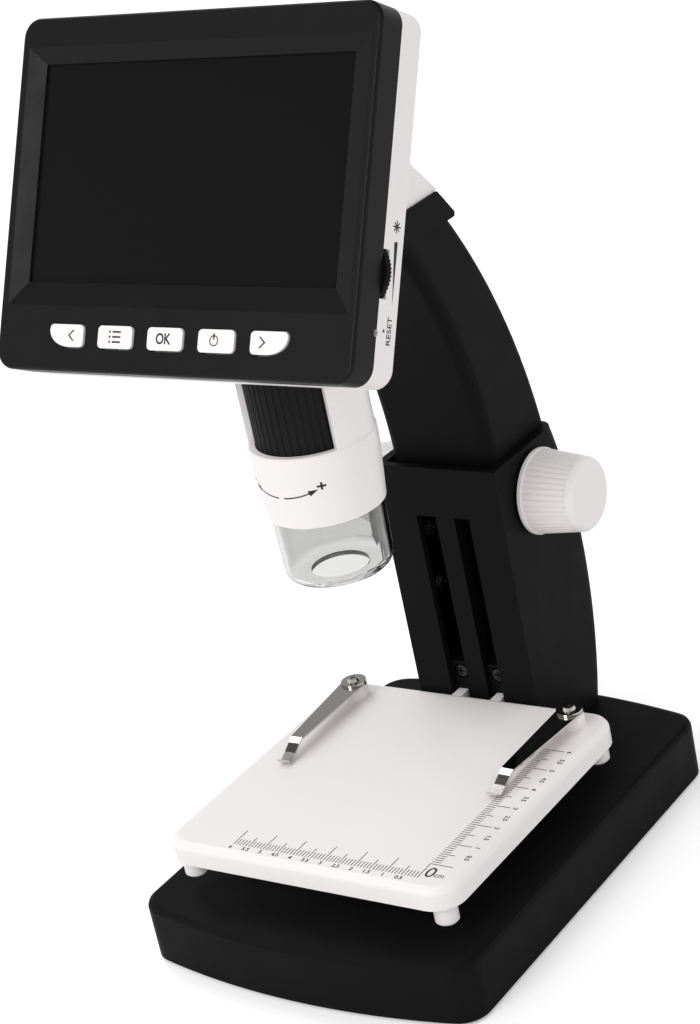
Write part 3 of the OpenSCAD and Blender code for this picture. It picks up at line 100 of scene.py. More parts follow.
class MicroscopeStudio(bpy.types.PropertyGroup):
    """Floor, light and camera."""
    floor_size: length_property("Floor size", 6000.0, "Side of the square floor")
    daylight: bpy.props.FloatProperty(name="Daylight", min=0.0, default=0.83,
                                      description="Strength of the even light from all round")
    ceiling: bpy.props.FloatProperty(name="Ceiling", min=0.0, default=0.1,
                                     description="How bright the ceiling looks in polished metal")
    key_power: bpy.props.FloatProperty(name="Key lamp", unit="POWER", min=0.0, default=8.4,
                                       description="Power of the large lamp at the front")
    top_power: bpy.props.FloatProperty(name="Top lamp", unit="POWER", min=0.0, default=3.0,
                                       description="Power of the lamp high at the back left")
    lens_length: bpy.props.FloatProperty(name="Lens", subtype="DISTANCE_CAMERA", min=1.0, default=87.87,
                                         description="Focal length of the camera in millimetres")


def colours():
    """The colours set in the scene."""
    return bpy.context.scene.microscope_colours


def sizes():
    """The sizes of the printed marks set in the scene."""
    return bpy.context.scene.microscope_sizes


def studio():
    """The floor, light and camera set in the scene."""
    return bpy.context.scene.microscope_studio


# ---------------------------------------------------------------- material building

def add_node(tree, kind, sockets=None, **options):
    """Adds one shader node, sets its options, and fills its sockets with values or with links."""
    node = tree.nodes.new(kind)
    for option, value in options.items():
        setattr(node, option, value)
    for socket, value in (sockets or {}).items():
        if isinstance(value, bpy.types.NodeSocket):
            tree.links.new(value, node.inputs[socket])
        else:
            node.inputs[socket].default_value = value
    return node


def blank_material(name):
    """A material with nothing but an output, and the object's own coordinates in metres."""
    material = bpy.data.materials.new(name)
    material.use_nodes = True
    tree = material.node_tree
    tree.nodes.clear()
    output = add_node(tree, "ShaderNodeOutputMaterial")
    place = add_node(tree, "ShaderNodeTexCoord").outputs["Object"]
    return material, tree, output, place


def seen_by(tree, *kinds):
    """One for the named kinds of ray and zero for the others."""
    paths = add_node(tree, "ShaderNodeLightPath")
    seen = paths.outputs[f"Is {kinds[0]} Ray"]
    for kind in kinds[1:]:
        either = {0: seen, 1: paths.outputs[f"Is {kind} Ray"]}
        seen = add_node(tree, "ShaderNodeMath", either, operation="MAXIMUM").outputs[0]
    return seen


def shade(colour, factor):
    """The same colour, darker or lighter."""
    return tuple(channel * factor for channel in colour[:3]) + (1.0,)


# Soft unevenness of plastic, in features to a metre: its colour changes over some 22 mm, and its
# sheen, where hands have been, over some 9 mm.
CLOUD_SCALE, HANDLING_SCALE = 45.0, 110.0
# Moulded acrylic flows unevenly over some 17 mm.
FLOW_SCALE = 60.0
# Pad-printed ink is uneven over some 0.4 mm.
SPECKLE_SCALE = 2500.0
# Tracks on a circuit board lie some 4.5 mm apart.
TRACK_SCALE = 220.0
# Plastic so clear that it hardly takes anything from the light.
CLEAR = (0.93, 0.93, 0.93, 1.0)


def moulded_plastic(name, colour, roughness, gloss, grain_mm, depth_mm, cloud=0.06, index=1.5):
    """Injection-moulded plastic: the tool's spark-eroded grain as bump, a faint cloudiness in the
    colour, and a roughness that wanders a little where the part has been handled."""
    material, tree, output, place = blank_material(name)
    clouds = add_node(tree, "ShaderNodeTexNoise", {"Vector": place, "Scale": CLOUD_SCALE, "Detail": 2.0})
    tint = add_node(tree, "ShaderNodeMix", {0: clouds.outputs["Fac"], 6: shade(colour, 1 - cloud),
                                            7: shade(colour, 1 + cloud)}, data_type="RGBA")
    handled = add_node(tree, "ShaderNodeTexNoise", {"Vector": place, "Scale": HANDLING_SCALE,
                                                    "Detail": 3.0})
    dull = add_node(tree, "ShaderNodeMapRange", {"Value": handled.outputs["Fac"],
                                                 "From Min": 0.3, "From Max": 0.7,
                                                 "To Min": roughness - 0.04, "To Max": roughness + 0.05})
    grain = add_node(tree, "ShaderNodeTexNoise", {"Vector": place, "Scale": 1 / (grain_mm * MM),
                                                  "Detail": 2.0, "Roughness": 0.6})
    relief = add_node(tree, "ShaderNodeBump", {"Height": grain.outputs["Fac"], "Distance": depth_mm * MM,
                                               "Strength": 0.6})
    surface = add_node(tree, "ShaderNodeBsdfPrincipled", {"Base Color": tint.outputs[2],
                                                          "Roughness": dull.outputs["Result"],
                                                          "Normal": relief.outputs["Normal"],
                                                          "Specular IOR Level": gloss, "IOR": index})
    tree.links.new(surface.outputs["BSDF"], output.inputs["Surface"])
    return material


def turned_metal(name, code, roughness, line_mm, depth_mm):
    """Bare machined or drawn metal: fine tool lines wander in brightness and catch the light."""
    material, tree, output, place = blank_material(name)
    lines = add_node(tree, "ShaderNodeTexNoise", {"Vector": place, "Scale": 1 / (line_mm * MM),
                                                  "Detail": 4.0})
    dull = add_node(tree, "ShaderNodeMapRange", {"Value": lines.outputs["Fac"],
                                                 "From Min": 0.25, "From Max": 0.75,
                                                 "To Min": roughness * 0.8, "To Max": roughness * 1.25})
    relief = add_node(tree, "ShaderNodeBump", {"Height": lines.outputs["Fac"], "Distance": depth_mm * MM,
                                               "Strength": 0.4})
    surface = add_node(tree, "ShaderNodeBsdfPrincipled", {"Base Color": linear(code), "Metallic": 1.0,
                                                          "Roughness": dull.outputs["Result"],
                                                          "Normal": relief.outputs["Normal"]})
    tree.links.new(surface.outputs["BSDF"], output.inputs["Surface"])
    return material


def clear_plastic(name, colour, roughness, index, clear_below=None):
    """Clear moulded plastic: light goes through, bends, and takes a little of the tint. Below a height the
    tint fades out to clear; above it, on a shade's wall, the tint is partly the plastic's own and partly
    painted shade standing in for dark parts reflected in the wall."""
    material, tree, output, place = blank_material(name)
    # Painted shade: above this height the wall takes the grey tint, below it the floor stays clear.
    if clear_below is not None:
        height = add_node(tree, "ShaderNodeSeparateXYZ", {0: place}).outputs["Z"]
        fade = add_node(tree, "ShaderNodeMapRange", {"Value": height, "From Min": clear_below,
                                                     "From Max": clear_below + MM})
        colour = add_node(tree, "ShaderNodeMix", {0: fade.outputs["Result"], 6: CLEAR, 7: colour},
                          data_type="RGBA").outputs[2]
    flow = add_node(tree, "ShaderNodeTexNoise", {"Vector": place, "Scale": FLOW_SCALE, "Detail": 1.0})
    relief = add_node(tree, "ShaderNodeBump", {"Height": flow.outputs["Fac"], "Distance": 0.05 * MM,
                                               "Strength": 0.3})
    surface = add_node(tree, "ShaderNodeBsdfPrincipled", {"Base Color": colour, "Roughness": roughness,
                                                          "IOR": index, "Transmission Weight": 1.0,
                                                          "Normal": relief.outputs["Normal"]})
    tree.links.new(surface.outputs["BSDF"], output.inputs["Surface"])
    return material


def printed_ink(name, colour):
    """Pad-printed ink: a thin matt film whose colour is a little uneven."""
    material, tree, output, place = blank_material(name)
    speckle = add_node(tree, "ShaderNodeTexNoise", {"Vector": place, "Scale": SPECKLE_SCALE,
                                                    "Detail": 2.0})
    tint = add_node(tree, "ShaderNodeMix", {0: speckle.outputs["Fac"], 6: shade(colour, 0.8),
                                            7: shade(colour, 1.2)}, data_type="RGBA")
    surface = add_node(tree, "ShaderNodeBsdfPrincipled", {"Base Color": tint.outputs[2], "Roughness": 0.55,
                                                          "Specular IOR Level": 0.3})
    tree.links.new(surface.outputs["BSDF"], output.inputs["Surface"])
    return material


def circuit_board(name, colour):
    """Fibreglass board under green solder mask: copper tracks show as paler lines."""
    material, tree, output, place = blank_material(name)
    tracks = add_node(tree, "ShaderNodeTexBrick", {"Vector": place, "Scale": TRACK_SCALE,
                                                   "Mortar Size": 0.02,
                                                   "Color1": shade(colour, 0.9), "Color2": colour,
                                                   "Mortar": shade(colour, 1.7)})
    surface = add_node(tree, "ShaderNodeBsdfPrincipled", {"Base Color": tracks.outputs["Color"],
                                                          "Roughness": 0.3})
    tree.links.new(surface.outputs["BSDF"], output.inputs["Surface"])
    return material


def make_materials():
    """One material for each real finish, named for what it is."""
    c = colours()
    black, white = tuple(c.black), tuple(c.white)
    return {
        # Matt black ABS off a spark-eroded tool: its grain swallows most of the sheen, so it stays
        # dark even at a glancing angle, as if its index were low.
        "black_abs": moulded_plastic("moulded black ABS, spark-eroded", black, 0.5, 0.5, 0.5, 0.03,
                                     index=1.14),
        # The same ABS off a finer tool: the head front, a touch smoother. Its colour is painted 1.4 times
        # lighter than the black, a painted sheen for how bright the head front looks.
        "black_gloss": moulded_plastic("moulded black ABS, fine satin, painted lighter", shade(black, 1.4), 0.38, 0.5,
                                       0.5, 0.02, index=1.22),
        # White ABS, polished tool: bright with a soft gloss along rounded edges.
        "white_abs": moulded_plastic("moulded white ABS, satin", white, 0.32, 0.4, 0.8, 0.012,
                                     cloud=0.012),
        # Moulded synthetic rubber: dead matt, slightly grey.
        "rubber_black": moulded_plastic("moulded rubber", tuple(c.rubber), 0.6, 0.5, 0.35, 0.04,
                                        index=1.2),
        # Bright zinc-plated screws and ground rod.
        "steel": turned_metal("zinc-plated steel", "#B9BABD", 0.28, 0.4, 0.01),
        # Screws deep in the column's window: zinc-plated steel painted dark, a painted shade for the
        # shadow they sit in, so only their edges glint.
        "painted_shade_steel": turned_metal("steel painted dark as shade", "#47474A", 0.3, 0.4, 0.01),
        # Polished spring strip: nearly a mirror.
        "polished_steel": turned_metal("polished spring steel", "#C9C5C0", 0.12, 8.0, 0.0002),
        # Bushes on the knob shaft: turned, left bare.
        "brass": turned_metal("turned brass", "#C9A45A", 0.3, 0.4, 0.01),
        # Boards inside the head and the barrel: green and half glossy.
        "circuit_board": circuit_board("fibreglass board, green mask", tuple(c.mask)),
        "led_white": moulded_plastic("white LED package", linear("#F4EFD2"), 0.3, 0.5, 0.6, 0.01),
        # Lamp shade: clear acrylic; its wall is grey, partly a smoky tint of its own and partly painted
        # shade for dark parts seen mirrored in it, while its floor is left clear.
        "clear_acrylic": clear_plastic("clear moulded acrylic", tuple(c.smoke_and_painted_shade), 0.02, 1.49,
                                       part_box("clear_shade")[0].z + 1.2 * MM),
        "lens_glass": clear_plastic("optical glass", linear("#EEF2F6"), 0.0, 1.52),
        "silicon": moulded_plastic("sensor package", linear("#17171C"), 0.2, 0.5, 0.6, 0.005),
        # Cover window: black-printed glass, glossy, nearly nothing behind it shows.
        "display": moulded_plastic("display window glass", tuple(c.glass), 0.06, 0.08, 4.0, 0.0005,
                                   cloud=0.01),
        # Back of the display and the cell: plain sheet and foil, unseen unless the head is opened.
        "panel_metal": turned_metal("pressed aluminium", "#A7A9AD", 0.4, 0.6, 0.01),
        "cell_foil": turned_metal("foil wrapped cell", "#B1B3B8", 0.35, 0.8, 0.02),
        "ink": printed_ink("pad-printed ink", tuple(c.ink)),
    }


# What is made once and then shared.
STORE = {}


def finish(kind):
    """The material of that finish, made once and then shared."""
    if "finishes" not in STORE:
        STORE["finishes"] = make_materials()
    return STORE["finishes"][kind]


# ---------------------------------------------------------------- modelling helpers

def deselect():
    """Leaves nothing selected."""
    bpy.ops.object.select_all(action="DESELECT")


def only(obj):
    """Makes obj the one selected and active object."""
    deselect()
    obj.select_set(True)
    bpy.context.view_layer.objects.active = obj
    return obj


def edit_mode(pick=None):
    """Edit mode on the active object, with all or none of its mesh selected, or what already was."""
    bpy.ops.object.mode_set(mode="EDIT")
    if pick:
        bpy.ops.mesh.select_all(action=pick)


def object_mode():
    """Back to object mode, which works the edit into the mesh."""
    bpy.ops.object.mode_set(mode="OBJECT")


def settle():
    """Works the place, the turn and the scale of what is selected into its mesh."""
    bpy.ops.object.transform_apply(location=True, rotation=True, scale=True)


def turned_to(*axes):
    """The turn that lays x, y and z along three directions."""
    return Matrix(axes).transposed().to_4x4()


def bar(x, y, width, height, turn=0.0):
    """A flat bar of ink centred at x, y on the drawing plane."""
    deselect()
    bpy.ops.mesh.primitive_plane_add(size=1)
    obj = bpy.context.object
    edit_mode("SELECT")
    bpy.ops.transform.resize(value=(width, height, 1))
    object_mode()
    obj.rotation_euler = (0, 0, turn)
    obj.location = (x, y, 0)
    settle()
    return obj


def repeat(obj, count, dx, dy=0.0):
    """Repeats a mark in a row."""
    only(obj)
    row = obj.modifiers.new("row", "ARRAY")
    row.use_relative_offset = False
    row.use_constant_offset = True
    row.constant_offset_displace = (dx, dy, 0)
    row.count = count
    bpy.ops.object.modifier_apply(modifier="row")
    return obj


def ribbon(points, across):
    """A flat band swept along points; across is the edge that is swept."""
    deselect()
    bpy.ops.mesh.primitive_plane_add(size=1)
    obj = bpy.context.object
    edit_mode("DESELECT")
    object_mode()
    for v in obj.data.vertices:
        v.select = v.co.x > 0
    edit_mode()
    bpy.ops.mesh.delete(type="VERT")
    object_mode()
    # The plane's left edge is left; its y is laid along the edge that is swept.
    long_way = Vector(across + (0,))
    square_to = Vector((long_way.y, -long_way.x, 0)).normalized()
    start = Vector(points[0] + (0,)) + square_to / 2
    obj.matrix_world = Matrix.Translation(start) @ turned_to(square_to, long_way, (0, 0, 1))
    settle()
    edit_mode("SELECT")
    for here, there in zip(points, points[1:]):
        step = (there[0] - here[0], there[1] - here[1], 0)
        bpy.ops.mesh.extrude_region_move(TRANSFORM_OT_translate={"value": step})
    object_mode()
    return obj


def wedge(foot, tip, width):
    """A flat triangle of ink, from the middle of its foot to its tip."""
    deselect()
    bpy.ops.mesh.primitive_circle_add(vertices=3, radius=1, fill_type="NGON")
    obj = bpy.context.object
    along = Vector(tip) - Vector(foot)
    # The foot is laid on the origin; the triangle is 1.5 tall and the root of 3 wide.
    edit_mode("SELECT")
    bpy.ops.transform.translate(value=(0, 0.5, 0))
    bpy.ops.transform.resize(value=(width / math.sqrt(3), along.length / 1.5, 1),
                             center_override=(0, 0, 0))
    object_mode()
    obj.rotation_euler = (0, 0, math.atan2(along.y, along.x) - math.pi / 2)
    obj.location = (foot[0], foot[1], 0)
    settle()
    return obj


def ring(x, y, radius, stroke, sides=48):
    """A flat ring of ink."""
    deselect()
    bpy.ops.mesh.primitive_circle_add(vertices=sides, radius=radius - stroke / 2, location=(x, y, 0))
    obj = bpy.context.object
    settle()
    grow = (radius + stroke / 2) / (radius - stroke / 2)
    edit_mode("SELECT")
    bpy.ops.mesh.extrude_edges_move()
    bpy.ops.transform.resize(value=(grow, grow, 1), center_override=(x, y, 0))
    object_mode()
    return obj


# How far the outline of a letter is moved out, for a face one unit tall; more than this fills it in.
LIGHT, BOLD = 0.01, 0.018


def letters(text, x, y, height, width=None, turn=0.0, weight=0.0):
    """Flat letters centred at x, y; height is that of a capital."""
    deselect()
    bpy.ops.object.text_add()
    obj = bpy.context.object
    obj.data.body = text
    obj.data.size = 1.0
    obj.data.offset = weight
    obj.data.align_x = "LEFT"
    bpy.ops.object.convert(target="MESH")
    obj = bpy.context.object
    low = Vector([min(v.co[k] for v in obj.data.vertices) for k in range(3)])
    high = Vector([max(v.co[k] for v in obj.data.vertices) for k in range(3)])
    tall = height / (high.y - low.y)
    wide = width / (high.x - low.x) if width else tall
    centre = (low + high) / 2
    obj.data.transform(Matrix.Translation((x, y, 0)) @ Matrix.Rotation(turn, 4, "Z")
                       @ Matrix.Diagonal((wide, tall, 1, 1)) @ Matrix.Translation(-centre))
    return obj


def join_marks(name, marks):
    """Joins flat marks to one piece whose faces all look up."""
    only(marks[0])
    for mark in marks[1:]:
        mark.select_set(True)
    if len(marks) > 1:
        bpy.ops.object.join()
    piece = bpy.context.view_layer.objects.active
    piece.name = piece.data.name = name
    edit_mode("SELECT")
    bpy.ops.mesh.remove_doubles(threshold=1e-6)
    bpy.ops.mesh.select_mode(type="FACE")
    bpy.ops.mesh.select_all(action="DESELECT")
    object_mode()
    for face in piece.data.polygons:
        face.select = face.normal.z < 0
    edit_mode()
    bpy.ops.mesh.flip_normals()
    bpy.ops.mesh.select_mode(type="VERT")
    object_mode()
    return piece


def film(piece):
    """Gives flat marks the thickness of ink, most of it above their surface."""
    only(piece)
    coat = piece.modifiers.new("film", "SOLIDIFY")
    coat.thickness = sizes().ink_thickness
    coat.offset = 0.3
    bpy.ops.object.modifier_apply(modifier="film")
    return piece


def lay(piece, origin, right, up):
    """Puts a piece drawn on the XY plane on a surface: its x runs along right and its y along up."""
    only(piece)
    right, up = Vector(right).normalized(), Vector(up).normalized()
    turn = turned_to(right, up, right.cross(up))
    piece.matrix_world = Matrix.Translation(Vector(origin)) @ turn
    settle()
    return piece


def dress(piece, material, body):
    """Gives a piece its finish and the CAD body that it moves with."""
    piece.data.materials.clear()
    piece.data.materials.append(material)
    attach(piece, body)
    return piece


# ---------------------------------------------------------------- the head's own directions

# The middle of the display, how far the head leans back, and its own two directions.
HEAD_ORIGIN = Vector((0, -42.0, 221.4)) * MM
HEAD_LEAN = math.radians(28.2)
HEAD_UP = Vector((0, math.sin(HEAD_LEAN), math.cos(HEAD_LEAN)))
HEAD_BACK = Vector((0, math.cos(HEAD_LEAN), -math.sin(HEAD_LEAN)))


def on_head(across, depth, height):
    """A point given in the head's own directions, in millimetres."""
    return HEAD_ORIGIN + Vector((across * MM, 0, 0)) + HEAD_BACK * depth * MM + HEAD_UP * height * MM


def front_depth(node):
    """How far forward a node reaches in the head's own directions."""
    return min((v.co - HEAD_ORIGIN).dot(HEAD_BACK) for v in frame["nodes"][node].data.vertices) / MM


# ---------------------------------------------------------------- operators

class MICROSCOPE_OT_finishes(bpy.types.Operator):
    """Gives every CAD node the material of its slot, except the carriage and rack screws, which get steel
    painted dark as shade
    """
    bl_idname = "microscope.finishes"
    bl_label = "Finish the CAD nodes"

    def execute(self, context):
        for part in frame["record"]["subparts"]:
            mesh = frame["nodes"][part["node"]].data
            mesh.materials.clear()
            # Painted shade: the screws deep in the column's window get darkened steel for the shadow there
            # instead of their bright plated steel.
            shaded_in_window = part["node"] in ("carriage_screws", "rack_screws")
            mesh.materials.append(finish("painted_shade_steel" if shaded_in_window else part["material_slot"]))
        return {"FINISHED"}


class MICROSCOPE_OT_stage_scale(bpy.types.Operator):
    """Prints the two centimetre scales on the stage"""
    bl_idname = "microscope.stage_scale"
    bl_label = "Stage scale"

    def execute(self, context):
        s = sizes()
        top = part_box("stage_plate")[1].z
        # The zero lies at the front right corner, one scale running left and the other back.
        zero_x, zero_y = 35.3 * MM, -57.0 * MM
        side_y = zero_y + s.tick_long
        centimetres = 6
        width = s.tick_width

        def ticks(length, first, count, step, groups=1, group_step=0.0, along_y=False):
            """One kind of line, repeated along its scale."""
            if along_y:
                line = bar(zero_x + length / 2, side_y + first, length, width)
                repeat(line, count, 0, step)
                return repeat(line, groups, 0, group_step) if groups > 1 else line
            line = bar(zero_x - first, zero_y + length / 2, width, length)
            repeat(line, count, -step)
            return repeat(line, groups, -group_step) if groups > 1 else line

        marks = []
        for along_y in (False, True):
            marks.append(ticks(s.tick_short, 1 * MM, 4, 1 * MM, centimetres * 2, 5 * MM, along_y))
            marks.append(ticks(s.tick_middle, 5 * MM, centimetres, 10 * MM, along_y=along_y))
            marks.append(ticks(s.tick_long, 0, centimetres + 1, 10 * MM, along_y=along_y))
        for half in range(1, centimetres * 2 + 1):
            text = str(half // 2) if half % 2 == 0 else f"{half // 2}.5"
            along = half * 5 * MM
            marks.append(letters(text, zero_x - along, zero_y - 1.3 * MM, s.figure_height,
                                 weight=BOLD))
            marks.append(letters(text, zero_x + s.tick_long + 1.7 * MM, side_y + along,
                                 s.figure_height, turn=-math.pi / 2, weight=BOLD))
        # The large zero and the unit stand in the corner where the scales meet.
        marks.append(letters("0", 37.7 * MM, -53.85 * MM, 4.3 * MM, 2.7 * MM))
        marks.append(letters("cm", 40.7 * MM, -54.9 * MM, 1.3 * MM, 2.9 * MM))
        piece = film(join_marks("stage_scale", marks))
        lay(piece, (0, 0, top), (1, 0, 0), (0, 1, 0))
        dress(piece, finish("ink"), "stage")
        return {"FINISHED"}


class MICROSCOPE_OT_key_symbols(bpy.types.Operator):
    """Prints a symbol on each of the five keys"""
    bl_idname = "microscope.key_symbols"
    bl_label = "Key symbols"

    def execute(self, context):
        s = sizes()
        half, stroke = s.symbol_height / 2, s.symbol_stroke
        # Each key's symbol is laid this far down from the middle of the display, in millimetres.
        key_row = -40.8

        def chevron(tip, back):
            """Two strokes that meet in a point."""
            slant = (stroke * 1.25, 0.0)
            return [ribbon([(back, half), (tip, 0.0), (back, -half)], slant)]

        rows = [-1.25 * MM, 0.0, 1.25 * MM]
        symbols = {
            "button_prev": ("prev_key", -30.3, chevron(-0.75 * MM, 0.75 * MM)),
            "button_menu": ("menu_key", -16.0, [bar(0.4 * MM, y, 2.6 * MM, stroke) for y in rows]
                            + [bar(-1.75 * MM, y, stroke * 1.2, stroke * 1.2) for y in rows]),
            "button_ok": ("ok_key", -0.75, [letters("OK", 0, 0, s.symbol_height, 4.6 * MM,
                                                    weight=BOLD)]),
            "button_power": ("power_key", 14.75, [ring(0, 0, 1.2 * MM, 0.26 * MM),
                                                  bar(0, 1.02 * MM, stroke, 1.5 * MM)]),
            "button_next": ("next_key", 29.15, chevron(0.75 * MM, -0.75 * MM)),
        }
        for node, (body, across, marks) in symbols.items():
            piece = film(join_marks("symbol_" + node[7:], marks))
            lay(piece, on_head(across, front_depth(node), key_row), (1, 0, 0), HEAD_UP)
            dress(piece, finish("ink"), body)
        return {"FINISHED"}


class MICROSCOPE_OT_side_marks(bpy.types.Operator):
    """Prints the lamp symbol, the wedge and the word by the pin hole on the head's right side"""
    bl_idname = "microscope.side_marks"
    bl_label = "Side marks"

    def execute(self, context):
        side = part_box("rear_cover")[1].x
        # The drawing's x runs up the head and its y runs towards the front.
        marks = []
        for turn in range(4):
            ray = 3.1 * MM if turn % 2 == 0 else 2.8 * MM
            marks.append(bar(-11.6 * MM, -11.55 * MM, ray, 0.34 * MM, turn * math.pi / 4))
        # The wedge, the word and the small triangle beside it follow down the head.
        marks.append(wedge((-15.1 * MM, -11.75 * MM), (-29.9 * MM, -12.28 * MM), 1.4 * MM))
        marks.append(letters("RESET", -35.95 * MM, -11.85 * MM, 1.75 * MM, 6.6 * MM, weight=LIGHT))
        marks.append(wedge((-36.4 * MM, -9.7 * MM), (-35.5 * MM, -9.7 * MM), 1.0 * MM))
        piece = film(join_marks("side_marks", marks))
        origin = Vector((side, HEAD_ORIGIN.y, HEAD_ORIGIN.z))
        lay(piece, origin, HEAD_UP, -HEAD_BACK)
        dress(piece, finish("ink"), "root")
        return {"FINISHED"}


class MICROSCOPE_OT_focus_marks(bpy.types.Operator):
    """Prints the two arrows that say which way the focus sleeve turns"""
    bl_idname = "microscope.focus_marks"
    bl_label = "Focus arrows"

    def execute(self, context):
        # The arc's middle is its lowest point, and it climbs with the square of the angle.
        radius, low = 16.9 * MM, 129.5 * MM
        climb = 0.0015 * MM
        per_degree = radius * math.pi / 180

        def at(degrees):
            """Distance round the barrel and height of the arc at an angle from its middle."""
            return (degrees * per_degree, climb * degrees * degrees)

        marks = []
        for side in (-1, 1):
            arc = [at(side * d) for d in (3.0, 8.0, 13.0, 18.0, 23.0, 28.5)]
            marks.append(ribbon(arc, (0.0, 0.36 * MM)))
            marks.append(wedge(at(side * 28.4), at(side * 37.4), 1.6 * MM))
        # A plus beyond the tip of one arrow and a minus beyond the other.
        x, y = at(40.8)
        marks.append(bar(x, y + 0.4 * MM, 2.5 * MM, 0.55 * MM))
        marks.append(bar(x, y + 0.4 * MM, 0.55 * MM, 2.2 * MM))
        x, y = at(-41.5)
        marks.append(bar(x, y + 0.4 * MM, 2.5 * MM, 0.5 * MM))
        piece = join_marks("focus_arrows", marks)
        # The drawing's y becomes height, and its outward side faces the front.
        piece.data.transform(Matrix.Rotation(math.pi / 2, 4, "X"))
        edit_mode("SELECT")
        bpy.ops.mesh.subdivide(number_cuts=3)
        object_mode()
        # The flat drawing is rolled round the barrel, turned a little, and laid on its surface.
        wide = [v.co.x for v in piece.data.vertices]
        wrap = piece.modifiers.new("wrap", "SIMPLE_DEFORM")
        wrap.deform_method = "BEND"
        wrap.deform_axis = "Z"
        wrap.angle = (max(wide) - min(wide)) / radius
        bpy.ops.object.modifier_apply(modifier="wrap")
        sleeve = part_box("focus_ring")
        centre = Vector((0, (sleeve[0].y + sleeve[1].y) / 2, low))
        piece.data.transform(Matrix.Translation(centre) @ Matrix.Rotation(math.radians(-3.3), 4, "Z")
                             @ Matrix.Translation((0, -radius, 0)))
        hug = piece.modifiers.new("hug", "SHRINKWRAP")
        hug.target = frame["nodes"]["barrel_body"]
        hug.wrap_method = "NEAREST_SURFACEPOINT"
        hug.wrap_mode = "ABOVE_SURFACE"
        hug.offset = 0.01 * MM
        bpy.ops.object.modifier_apply(modifier="hug")
        film(piece)
        dress(piece, finish("ink"), "root")
        return {"FINISHED"}


# ---------------------------------------------------------------- studio

# How much the floor glows for the eye, which makes it as white as the surroundings.
FLOOR_LIFT = 0.3
# The lamps look at this point of the part.
LAMP_AIM = Vector((0, 0, 0.12))
KEY_LAMP_SIZE, KEY_LAMP_PLACE = 0.6, Vector((-0.24, -1.37, 1.1))
TOP_LAMP_SIZE, TOP_LAMP_PLACE = 0.5, Vector((-0.78, 0.3, 1.1))
# The camera's place and turn, found from the lines of the stage's rulers.
CAMERA_PLACE = Vector((0.3847, -0.49194, 0.37397))
CAMERA_RIGHT = Vector((0.8165, 0.54314, -0.195777))
CAMERA_UP = Vector((-0.069413, 0.428988, 0.900639))


def add_floor(size):
    """A wide white floor that glows a little for the eye and for what is seen through the shade."""
    deselect()
    bpy.ops.mesh.primitive_plane_add(size=size)
    floor = bpy.context.object
    floor.name = "studio_floor"
    material, tree, output, place = blank_material("white studio floor")
    clouds = add_node(tree, "ShaderNodeTexNoise", {"Vector": place, "Scale": 3.0, "Detail": 2.0})
    tint = add_node(tree, "ShaderNodeMapRange", {"Value": clouds.outputs["Fac"],
                                                 "To Min": 0.84, "To Max": 0.86})
    glow = add_node(tree, "ShaderNodeMath", {0: seen_by(tree, "Camera", "Transmission"), 1: FLOOR_LIFT},
                    operation="MULTIPLY")
    surface = add_node(tree, "ShaderNodeBsdfPrincipled", {"Base Color": tint.outputs["Result"],
                                                          "Roughness": 0.9, "Specular IOR Level": 0.0,
                                                          "Emission Color": (1, 1, 1, 1),
                                                          "Emission Strength": glow.outputs[0]})
    tree.links.new(surface.outputs["BSDF"], output.inputs["Surface"])
    floor.data.materials.append(material)


def add_sky(scene, daylight, ceiling):
    """Even daylight; what is seen of it is white round the horizon, under a dark ceiling that
    polished metal mirrors."""
    world = bpy.data.worlds.new("studio")
    world.use_nodes = True
    tree = world.node_tree
    tree.nodes.clear()
    sight = add_node(tree, "ShaderNodeTexCoord").outputs["Generated"]
    rise = add_node(tree, "ShaderNodeSeparateXYZ", {0: sight}).outputs["Z"]
    room = add_node(tree, "ShaderNodeMapRange", {"Value": rise, "From Min": 0.12, "From Max": 0.6,
                                                 "To Min": 1.0, "To Max": ceiling})
    strength = add_node(tree, "ShaderNodeMix", {0: seen_by(tree, "Camera", "Glossy", "Transmission"),
                                                2: daylight, 3: room.outputs["Result"]})
    sky = add_node(tree, "ShaderNodeBackground", {"Color": (1, 1, 1, 1),
                                                  "Strength": strength.outputs[0]})
    add_node(tree, "ShaderNodeOutputWorld", {"Surface": sky.outputs["Background"]})
    scene.world = world


def add_lamp(scene, name, power, size, place):
    """A square lamp that looks at the part."""
    lamp = bpy.data.lights.new(name, "AREA")
    lamp.energy = power
    lamp.size = size
    holder = bpy.data.objects.new(name, lamp)
    scene.collection.objects.link(holder)
    holder.location = place
    holder.rotation_euler = (place - LAMP_AIM).to_track_quat("Z", "Y").to_euler()


def add_camera(scene, lens_length):
    """The camera through which the studio is seen."""
    camera = bpy.data.cameras.new("camera")
    camera.lens = lens_length
    camera.sensor_width = 36.0
    camera.sensor_fit = "AUTO"
    camera.clip_end = 20.0
    holder = bpy.data.objects.new("camera", camera)
    scene.collection.objects.link(holder)
    turn = turned_to(CAMERA_RIGHT, CAMERA_UP, CAMERA_RIGHT.cross(CAMERA_UP))
    holder.matrix_world = Matrix.Translation(CAMERA_PLACE) @ turn
    scene.camera = holder


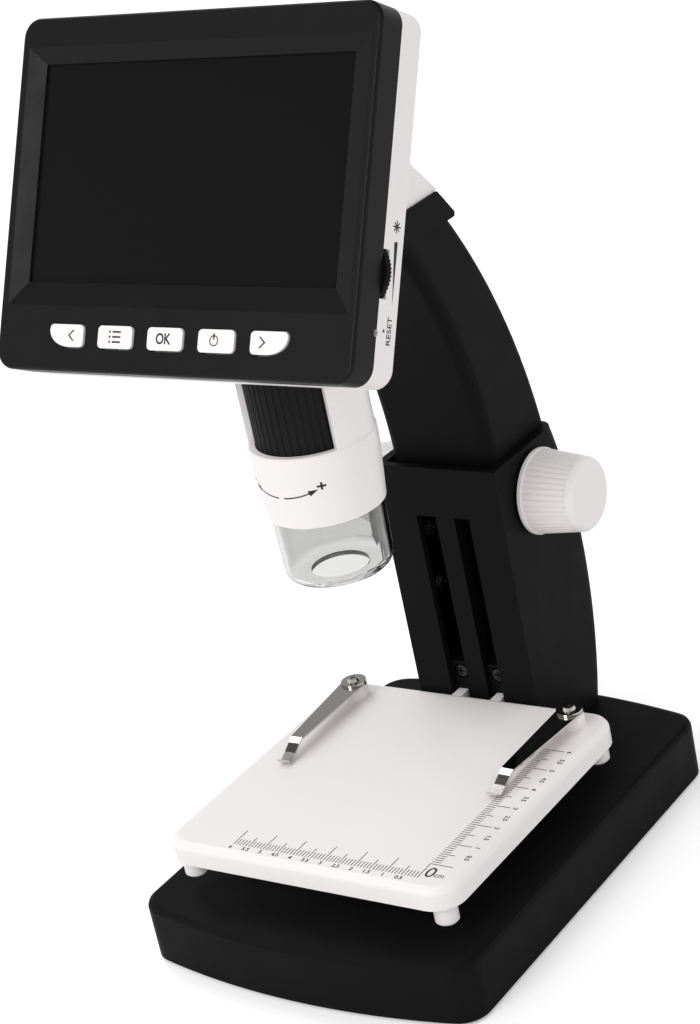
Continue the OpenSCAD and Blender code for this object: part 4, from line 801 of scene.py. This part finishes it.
class MICROSCOPE_OT_studio(bpy.types.Operator):
    """Adds the pale floor, the soft light and the camera"""
    bl_idname = "microscope.studio"
    bl_label = "Studio"

    def execute(self, context):
        s = studio()
        scene = context.scene
        add_floor(s.floor_size)
        add_sky(scene, s.daylight, s.ceiling)
        add_lamp(scene, "key_lamp", s.key_power, KEY_LAMP_SIZE, KEY_LAMP_PLACE)
        add_lamp(scene, "top_lamp", s.top_power, TOP_LAMP_SIZE, TOP_LAMP_PLACE)
        add_camera(scene, s.lens_length)
        scene.view_settings.view_transform = "Standard"
        return {"FINISHED"}


# ---------------------------------------------------------------- panel and start

class MICROSCOPE_PT_panel(bpy.types.Panel):
    """Lists what can be built"""
    bl_idname = "MICROSCOPE_PT_panel"
    bl_label = "Microscope"
    bl_space_type = "VIEW_3D"
    bl_region_type = "UI"
    bl_category = "Microscope"

    def draw(self, context):
        for operator in OPERATORS:
            self.layout.operator(operator.bl_idname)
        for group in (colours(), sizes(), studio()):
            for name in group.bl_rna.properties.keys():
                if name not in ("rna_type", "name"):
                    self.layout.prop(group, name)


GROUPS = (MicroscopeColours, MicroscopeSizes, MicroscopeStudio)
OPERATORS = (MICROSCOPE_OT_finishes, MICROSCOPE_OT_stage_scale, MICROSCOPE_OT_key_symbols,
             MICROSCOPE_OT_side_marks, MICROSCOPE_OT_focus_marks, MICROSCOPE_OT_studio)


def register():
    """Adds the settings, the operators and the panel."""
    for item in GROUPS + OPERATORS + (MICROSCOPE_PT_panel,):
        bpy.utils.register_class(item)
    bpy.types.Scene.microscope_colours = bpy.props.PointerProperty(type=MicroscopeColours)
    bpy.types.Scene.microscope_sizes = bpy.props.PointerProperty(type=MicroscopeSizes)
    bpy.types.Scene.microscope_studio = bpy.props.PointerProperty(type=MicroscopeStudio)


def unregister():
    """Takes out what register() added."""
    for name in ("microscope_colours", "microscope_sizes", "microscope_studio"):
        delattr(bpy.types.Scene, name)
    for item in reversed(GROUPS + OPERATORS + (MICROSCOPE_PT_panel,)):
        bpy.utils.unregister_class(item)


def main():
    """Builds the looks in order."""
    register()
    bpy.ops.microscope.finishes()
    bpy.ops.microscope.stage_scale()
    bpy.ops.microscope.key_symbols()
    bpy.ops.microscope.side_marks()
    bpy.ops.microscope.focus_marks()
    bpy.ops.microscope.studio()


if __name__ == "__main__":
    main()
